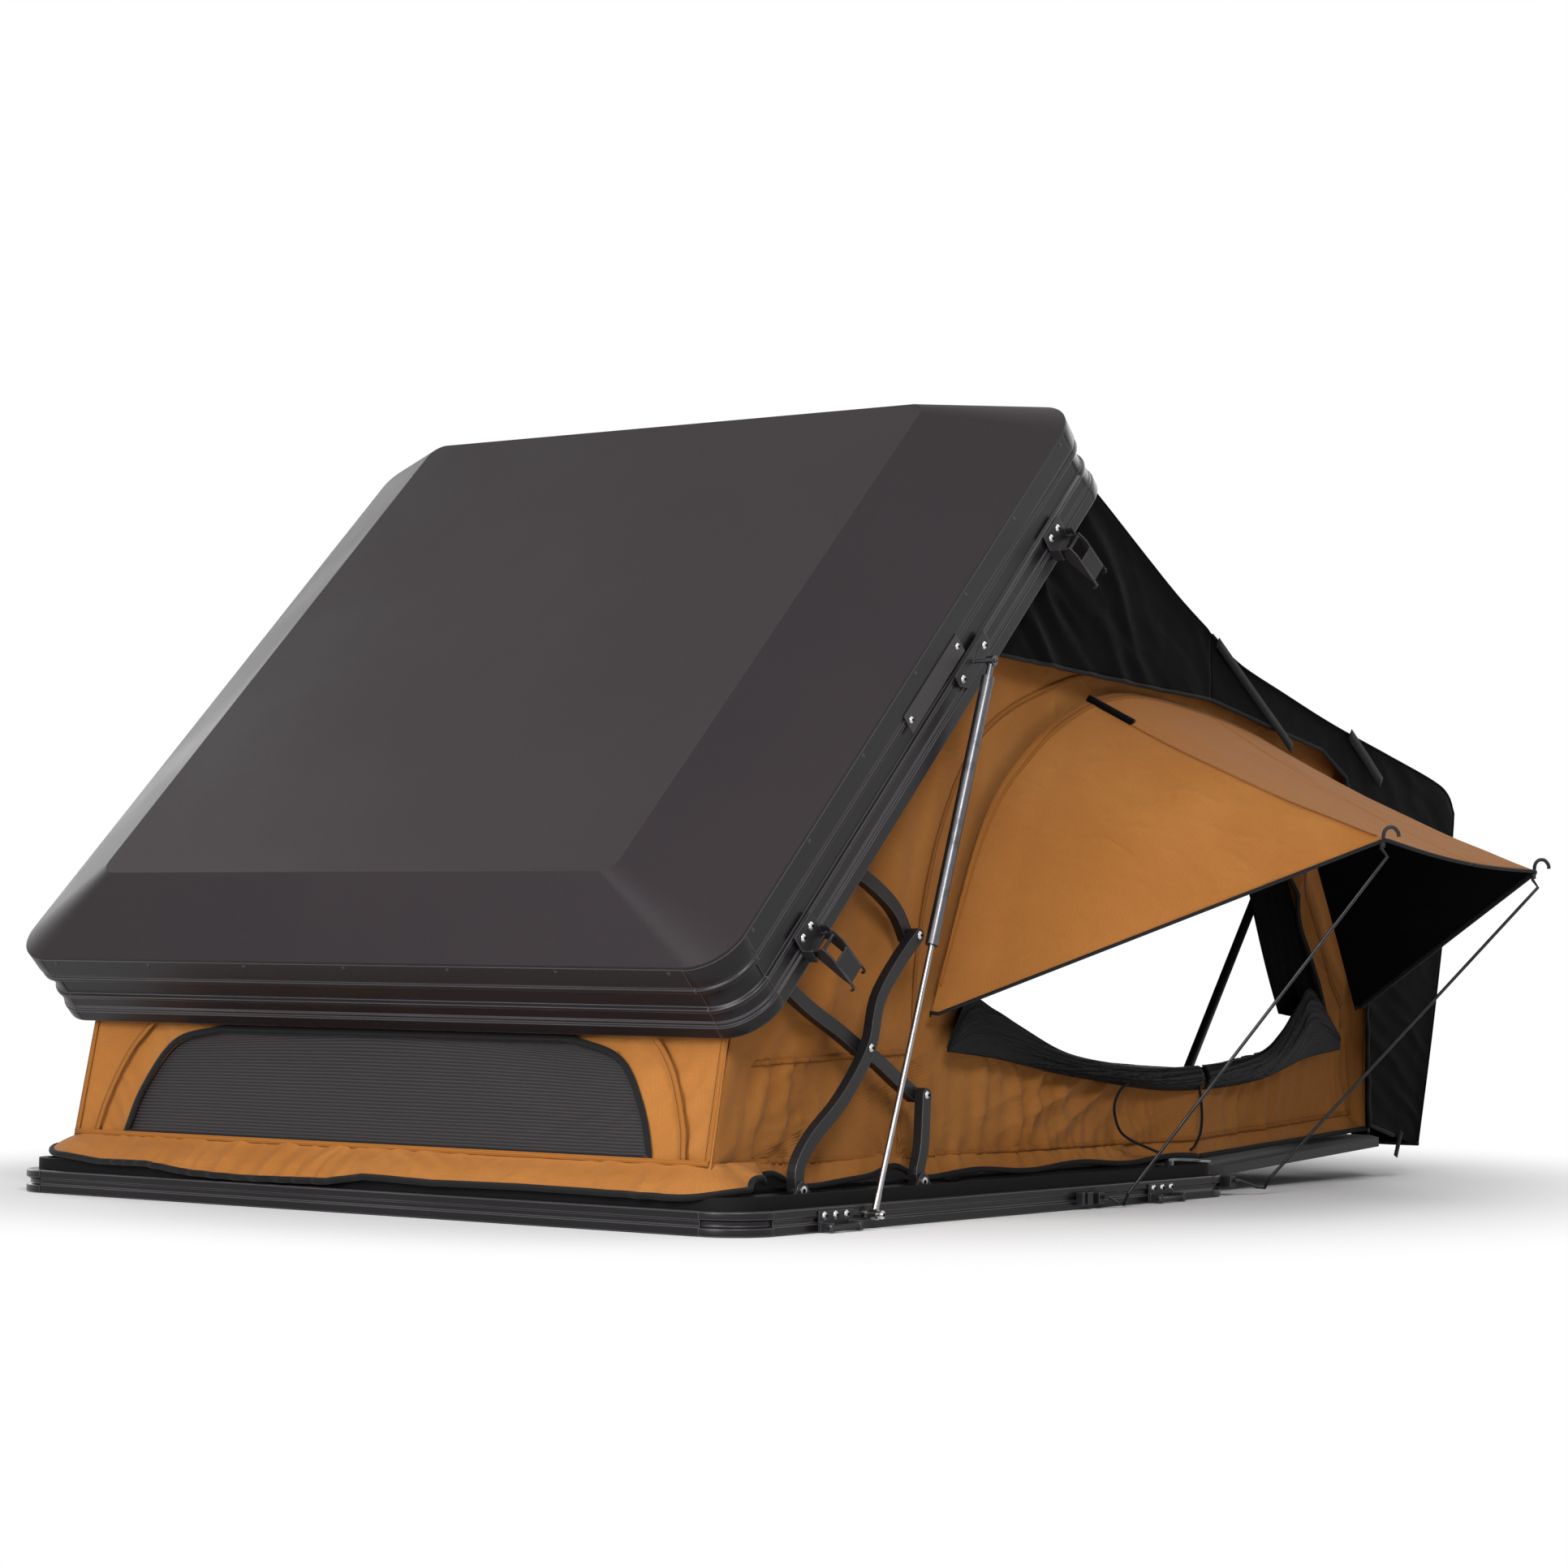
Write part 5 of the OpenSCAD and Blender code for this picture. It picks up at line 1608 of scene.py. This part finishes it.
@dataclass
class Fly(Maker):
    """Black fly sheet in a front part, a fold-out part and an end flap, with binding and straps."""

    half: float = 0.7445
    thick: float = 0.003
    neck: float = 0.716
    turn: float = 0.356
    lap: float = 0.0032
    roof_drop: float = 0.002
    drop_in: float = 0.0035
    drop_hem: float = 0.004
    end_hem: float = 0.0045
    seed: float = 61.0
    cloth: tuple[str, str] = ("fly_cloth", "lining_black")
    roof_front: tuple = ((0.300, 1.323), (0.430, 1.250), (0.560, 1.175), (0.680, 1.108), (0.7995, 1.050),
                         (0.810, 1.045))
    drop_front: tuple = ((0.050, 1.000), (0.170, 1.126), (0.300, 1.262), (0.356, 1.290), (0.430, 1.249), (0.560, 1.174),
                         (0.680, 1.107), (0.7995, 1.049))
    low_front: tuple = ((0.046, 0.964), (0.200, 0.956), (0.400, 0.945), (0.600, 0.934), (0.7995, 0.925))
    roof_rear: tuple = ((0.8005, 1.050), (0.900, 1.001), (1.080, 0.952), (1.273, 0.903), (1.500, 0.854), (1.702, 0.809),
                        (1.770, 0.782), (1.797, 0.744))
    end: tuple = ((1.797, 0.744), (1.790, 0.690), (1.765, 0.560), (1.705, 0.300), (1.642, 0.062))
    end_from: float = 0.585
    low_rear: tuple = ((0.8005, 0.925), (1.000, 0.890), (1.235, 0.850), (1.335, 0.800), (1.385, 0.690), (1.408, 0.600),
                       (1.424, 0.400), (1.440, 0.106), (1.540, 0.082))
    roll_at: Point = (1.722, 0.764)
    roll_r: float = 0.028
    roll_turns: float = 2.6
    roll_end: float = 0.020
    roll_thick: float = 0.0016
    tape_width: float = 0.025
    tape_thick: float = 0.0012
    tape_r: float = 0.0295
    tape_x: tuple = (-0.45, 0.0, 0.45)
    rod_x: float = 0.732
    rod_r: float = 0.003
    rod: tuple = ((1.446, 0.0866), (1.466, 0.1466), (1.505, 0.250), (1.605, 0.480), (1.670, 0.640), (1.676, 0.740))
    strap_lift: float = 0.0035
    strap_thick: float = 0.0018
    straps: tuple = (
        (((0.812, 1.034), (0.950, 0.944), (1.050, 0.880), (1.101, 0.846)), 0.020),
        (((1.335, 0.886), (1.400, 0.842), (1.468, 0.794)), 0.024),
        (((1.560, 0.090), (1.548, 0.066), (1.536, 0.040)), 0.014),
    )

    def build(self) -> None:
        """Makes the fly and what is sewn to it."""
        self._roof(Body.BASE, 90)
        for side in Side:
            self._drop(side, Body.BASE, even(self.drop_front, 140), even(self.low_front, 140))
        self._roof(Body.FOLD, 120)
        self._roll()
        upper = np.vstack([even(self.roof_rear, 120), even(self.end, 80)[1:]])
        for side in Side:
            self._drop(side, Body.FOLD, upper, even(self.low_rear, len(upper)))
            self._return(side)
        self._rods()
        self._straps()

    def sag(self, x: float, y: float) -> float:
        """How far the roof's cloth hangs below its edges' line.

        Args:
            x: place across the width.
            y: place along the length.

        Returns:
            The depth, the same on both sides of the cut.
        """
        wide = 0.65 * fold_at(x, y, 82, 0.65, 0.085, self.seed) + 0.35 * crease_at(x, y, 76, 0.060, 0.5, 66.0)
        return 0.012 * (1 - (x / self.half) ** 2) * (0.6 + 0.6 * wide)

    def _roof(self, body: Body, columns: int) -> None:
        """Roof of one half; the front one is narrow inside the lid and laps under the rear one at the cut.

        Args:
            body: the base for the front half, the fold-out floor for the rear half.
            columns: points across the width.
        """
        front = body is Body.BASE
        rows = []
        for y, z in smooth_line(self.roof_front if front else self.roof_rear, 90):
            reach = self.neck + (self.half - self.neck) * clamp((y - self.turn + 0.006) / 0.006)
            under = self.lap * clamp((y - 0.780) / 0.015) if front else 0.0
            rows.append([(x, y, z - self.roof_drop - under - self.sag(x, y))
                         for x in np.linspace(-reach, reach, columns)])
        grid = np.array(rows)
        top = self.sheet(f"fly_{body.part}_roof", grid, self.thick, self.cloth)
        carry(top, body, [f"fly_{body.part}"])

    def _return(self, side: Side) -> None:
        """The part of the end that stays down beside the door, in soft folds.

        Args:
            side: right or left.
        """
        line = smooth_line(self.end, 60)
        rows = []
        for (y, z), t in zip(line, np.arange(len(line)) / (len(line) - 1)):
            rows.append([(x, y + (0.011 * math.sin(x * 14.8 + 0.5) + 0.007 * math.sin(x * 33.0)) * t
                          * (1 - (x / self.half) ** 8), z) for x in np.linspace(self.end_from, self.half, 40)])
        grid = self.mirrored(rows, side)
        piece = self.sheet(f"fly_end_{side.word}", grid, self.thick, self.cloth, flip=side is Side.LEFT)
        carry(piece, Body.FOLD)
        hem = self.tube(f"fly_end_hem_{side.word}", grid[-1], self.end_hem, "binding_black")
        carry(hem, Body.FOLD)

    def _roll(self) -> None:
        """The end rolled up under the roof's edge, held by three tapes."""
        y, z = self.roll_at
        wide = self.half - self.roll_end
        rows = []
        for x in np.linspace(-wide, wide, 90):
            row = []
            for t in np.arange(46) / 45:
                a = 2 * math.pi * self.roll_turns * t
                r = self.roll_r * (0.45 + 0.53 * t) * (1 + 0.05 * fold_at(x, a, 0, 0.12, 0.9, 77.0))
                row.append((x, y + r * math.cos(a), z - r * math.sin(a)))
            rows.append(row)
        carry(self.sheet("fly_end_roll", np.array(rows), self.roll_thick, ["fly_cloth"]), Body.FOLD)
        for number, x in enumerate(self.tape_x):
            ring = np.array([(x, y + self.tape_r * math.cos(a), z + self.tape_r * math.sin(a))
                             for a in np.linspace(0, 2 * math.pi, 25)])
            tape = self.strap(f"fly_roll_tape_{number}", ring, (1, 0, 0), self.tape_width, self.tape_thick, "webbing")
            carry(tape, Body.FOLD)

    def _rods(self) -> None:
        """The two spring wires that hold the end out, hooked under the roof's rear edge."""
        line = smooth_line([(self.rod_x, y, z) for y, z in self.rod], 60)
        for side in Side:
            rod = self.tube(f"fly_rod_{side.word}", self.mirrored(line, side), self.rod_r, "rod_steel", 12)
            carry(rod, Body.FOLD, ["fly_rods"] if side is Side.RIGHT else [])

    def _drop(self, side: Side, body: Body, upper: np.ndarray, lower: np.ndarray) -> None:
        """A side panel between the roof's edge and its own lower edge.

        Args:
            side: right or left.
            body: the body that carries it.
            upper: points (y, z) of the upper edge.
            lower: points (y, z) of the lower edge.
        """
        def hung(y: float, z: float, t: float) -> Point:
            """A point of the panel, which bulges out but hardly in, where the rods stand.

            Args:
                y: place along the side.
                z: height.
                t: share of the way down.

            Returns:
                The point in the frame.
            """
            pull = crease_at(y, z, 128, 0.090, 0.4, self.seed)
            pull += 0.5 * crease_at(y, z, 150, 0.045, 0.2, self.seed + 3)
            bulge = min(1.0, 6 * t) * (1 - 0.5 * t) * 0.016 * (pull - 0.3)
            return self.half - self.drop_in + max(-0.003, bulge), y, z - self.roof_drop * (1 - t)

        name = f"fly_{body.part}_drop_{side.word}"
        grid = self.mirrored(loft(upper, lower, 30, hung), side)
        carry(self.sheet(name, grid, self.thick, self.cloth, flip=side is Side.LEFT), body)
        carry(self.tube(name + "_hem", grid[-1], self.drop_hem, "binding_black"), body)

    def _straps(self) -> None:
        """Webbing straps over the fly's sides, and a short tail at the rear hem."""
        for side in Side:
            for number, (line, width) in enumerate(self.straps):
                points = self.mirrored([(self.half + self.strap_lift, y, z) for y, z in smooth_line(line, 24)], side)
                strap = self.strap(f"fly_strap_{side.word}_{number}", points, (0, 1, 1), width, self.strap_thick,
                                   "webbing")
                carry(strap, Body.FOLD)


@dataclass
class Awnings(Maker):
    """Window awnings in two halves: canvas outside, black lining inside, bound edge, seams and rod hooks."""

    wall_x: float = 0.7224
    cut: float = 0.800
    arch: tuple = ((-0.100, 0.335), (0.049, 0.660), (0.190, 0.800), (0.335, 0.880), (0.480, 0.918), (0.620, 0.920),
                   (0.845, 0.896), (1.020, 0.862), (1.140, 0.815), (1.216, 0.680), (1.320, 0.500), (1.412, 0.335))
    stops: tuple = (0.0, 0.374, 0.724, 1.0)
    columns: int = 151
    sag: float = 0.014
    edge_sag: float = 0.012
    edge_radius: float = 0.0055
    edge_flat: float = 0.6
    thick: float = 0.003
    cloth: tuple[str, str] = ("canvas", "lining_black")
    foot_lift: float = 0.0072
    seam_thick: float = 0.0008
    seam_lift: float = 0.0022
    top_seam_lift: float = 0.0018
    hook_radius: float = 0.0034
    pocket_radius: float = 0.0115
    pocket_flat: float = 0.7
    front_hook: Point = (1.250, 0.533, 0.650)
    rear_hook: Point = (1.250, 1.132, 0.607)
    bend: tuple = ((-0.004, 0.0, -0.014), (-0.003, -0.001, 0.002), (0.000, -0.003, 0.014), (0.006, 0.000, 0.021),
                   (0.014, 0.006, 0.021), (0.020, 0.010, 0.013), (0.021, 0.011, 0.005))
    turn: float = 64.0
    hinge: tuple[float, float] = (0.335, 0.880)
    drop: float = 0.77
    keep: float = 0.04
    gathered: float = 0.03

    def build(self) -> None:
        """Makes both awnings."""
        for side in Side:
            self._one(side)

    def _carry(self, piece: bpy.types.Object, side: Side, slot: str, nodes: Iterable[str] = (),
               rear: bool = False) -> None:
        """The front rides the awning's body; the rear rides the base.

        Args:
            piece: the finished mesh.
            side: right or left.
            slot: the record's material slot; not used.
            nodes: CAD nodes that it stands for.
            rear: True for what lies behind the cut.
        """
        if rear:
            carry(piece, Body.BASE, nodes, Fold("floor_fold", (0, 1, 0), (0, self.cut, 0), self.gathered))
            return
        over, up = math.sin(math.radians(self.turn)), math.cos(math.radians(self.turn))
        y, z = self.hinge
        anchor = (side.value * (self.wall_x + self.drop * over), y, z - self.drop * up)
        fold = Fold("lid_fold", (-over * side.value, 0.0, up), anchor, self.keep)
        attach(piece, f"awning_{side.word}", fold, nodes)

    def edge(self) -> np.ndarray:
        """Points of the outer edge, from the front foot over both hooks to the rear foot.

        Returns:
            A row of points on the right side.
        """
        t = np.linspace(0, 1, self.columns)
        feet = [(self.wall_x, *self.arch[k]) for k in (0, -1)]
        keys = np.array([feet[0], self.front_hook, self.rear_hook, feet[1]])
        line = np.stack([np.interp(t, self.stops, keys[:, k]) for k in range(3)], axis=1)
        span = np.clip((t - self.stops[1]) / (self.stops[2] - self.stops[1]), 0, 1)
        line[:, 2] -= np.sin(math.pi * span) * self.edge_sag
        return line

    def _grid(self, arch: np.ndarray) -> np.ndarray:
        """Points of the right awning, row by row from the wall to the outer edge.

        Args:
            arch: points (y, z) where it is sewn to the wall.

        Returns:
            Rows of points; the two foot corners lie a little higher, clear of the wall.
        """
        edge, last = self.edge(), self.columns - 1
        rows = []
        for s in np.linspace(0, 1, 40):
            row = []
            for k, ((y, z), e) in enumerate(zip(arch, edge)):
                a = np.array([self.wall_x, y, z])
                p = a + (e - a) * s
                slack = math.sin(math.pi * s) * math.sin(math.pi * k / last)
                pull = 0.004 * fold_at(p[1], s, 70, 0.5, 0.07, 91.0) * slack
                p[2] += pull - self.sag * slack + (self.foot_lift * s if k in (0, last) else 0.0)
                row.append(p)
            rows.append(row)
        return np.array(rows)

    def _one(self, side: Side) -> None:
        """One awning with all that is sewn to it.

        Args:
            side: right or left.
        """
        arch = smooth_line(self.arch, self.columns)
        grid = self.mirrored(self._grid(arch), side)
        name = f"awning_{side.word}"
        middle = int(np.argmin(np.abs(arch[:, 0] - self.cut)))
        for label, part, rear in ((name, grid[:, :middle + 1], False), (name + "_rear", grid[:, middle:], True)):
            cloth = self.sheet(label + "_canvas", part, self.thick, self.cloth, flip=side is Side.RIGHT)
            self._carry(cloth, side, "canvas", () if rear else [name], rear)
            reach, width, area = laid_flat(part)
            edge = self.tube(label + "_edge", part[-1], self.edge_radius, "binding_black", 8, self.edge_flat)
            self._carry(edge, side, "fly_cloth", rear=rear)
            column = round(self.stops[2 if rear else 1] * (self.columns - 1))
            rise = grid[1:-1, column] + np.array([0.0, 0.0, self.seam_lift])
            top = (part[1, :-4] if rear else part[1, 4:]) + np.array([side.value * 0.001, 0, self.top_seam_lift])
            for word, line, across in (("_seam", rise, (0, 1, 0)), ("_top_seam", top, (1, 0, -0.6))):
                self._carry(self.seam(label + word, line, across), side, "canvas", rear=rear)
        self._pocket(side, grid)
        self._hooks(side)

    def _hooks(self, side: Side) -> None:
        """The rods' bent tips, which come up through the edge and curl over.

        Args:
            side: right or left.
        """
        for word, hook in (("front", self.front_hook), ("rear", self.rear_hook)):
            line = smooth_line([np.array(hook) + np.array(b) for b in self.bend], 40)
            tip = self.tube(f"rod_hook_{side.word}_{word}", self.mirrored(line, side), self.hook_radius,
                            "bracket_black", 12)
            self._carry(tip, side, "rod_steel")

    def _pocket(self, side: Side, grid: np.ndarray) -> None:
        """The dark slit of a rod pocket, on the cloth just above the front seam.

        Args:
            side: right or left.
            grid: the awning's points.
        """
        pipe = grid[:7, round(self.stops[1] * (self.columns - 1))] + np.array([0.0, 0.004, 0.004])
        slit = self.tube(f"awning_{side.word}_rod_pocket", pipe, self.pocket_radius, "lining_black", 14,
                         self.pocket_flat)
        self._carry(slit, side, "fly_cloth")


@dataclass
class Bedding(Maker):
    """The mattress in two parts: crowned, drawn in, with sewn channels and piping."""

    side_height: float = 0.023
    crown: float = 0.0135
    channels: tuple[float, ...] = (-0.5, 0.0, 0.5)
    rear_tilt: float = 3.0
    fill: float = 0.7
    columns: int = 72
    rows: int = 60
    floor_gap: float = 0.0005
    foot_share: float = 0.992
    piping_radius: float = 0.003
    piping_drop: float = 0.001

    def build(self) -> None:
        """Makes both parts."""
        self._pad("mattress_front", Body.BASE, 0.0)
        self._pad("mattress_rear", Body.FOLD, self.rear_tilt)

    def _pad(self, node: str, body: Body, tilt: float) -> None:
        """One crowned pad in the space of its CAD solid.

        Args:
            node: the CAD node that it stands for.
            body: the body that carries it.
            tilt: slope of its floor in degrees.
        """
        low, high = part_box(node)
        run = math.tan(math.radians(tilt))
        n, m = self.columns, self.rows
        rows = []
        for b in np.linspace(-1, 1, m):
            row = []
            for a in np.linspace(-1, 1, n):
                x = a * high.x * (1 - 0.012 * b * b)
                y = (low.y + high.y) / 2 + (high.y - low.y) / 2 * b * (1 - 0.01 * a * a)
                rise = (1 - abs(a) ** 6) * (1 - abs(b) ** 6) - 0.35 * math.exp(-(b / 0.05) ** 2)
                rise -= 0.10 * sum(math.exp(-((a - c) / 0.03) ** 2) for c in self.channels)
                row.append((x, y, low.z + run * (y - low.y) + self.side_height + self.crown * rise))
            rows.append(row)
        top = np.array(rows)
        base = top.copy()
        base[..., 2] = low.z + run * (base[..., 1] - low.y) + self.floor_gap
        base[..., 0] *= self.foot_share
        verts = np.vstack([top.reshape(-1, 3), base.reshape(-1, 3)])
        k = m * n
        upper = quads(m, n)
        rim = list(range(n)) + [i * n + n - 1 for i in range(1, m)]
        rim += [(m - 1) * n + j for j in reversed(range(n - 1))] + [i * n for i in reversed(range(1, m - 1))]
        walls = [(b, a, a + k, b + k) for a, b in zip(rim, rim[1:] + rim[:1])]
        faces = upper + [tuple(x + k for x in q[::-1]) for q in upper] + walls
        pad = self.solid(node + "_pad", verts, faces, np.vstack([verts[:k, :2]] * 2), ["mattress_cloth"])
        ring = verts[rim + rim[:1]] - np.array([0, 0, self.piping_drop])
        piping = self.tube(node + "_piping", ring, self.piping_radius, "webbing", 6)
        for piece in (pad, piping):
            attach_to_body(piece, body.value)
        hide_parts(node)


def main() -> None:
    """Builds the scene around the frame and reports each piece."""
    logging.basicConfig(level=logging.INFO, format="%(name)s: %(message)s")
    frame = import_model()
    finishes = Finishes()
    Studio().build()
    HardParts(finishes).build(frame)
    for assembly in (FrontPanel, SideWalls, Fly, Awnings, Bedding):
        assembly(finishes).build()
    LOG.info("scene is ready")


if __name__ == "__main__":
    main()
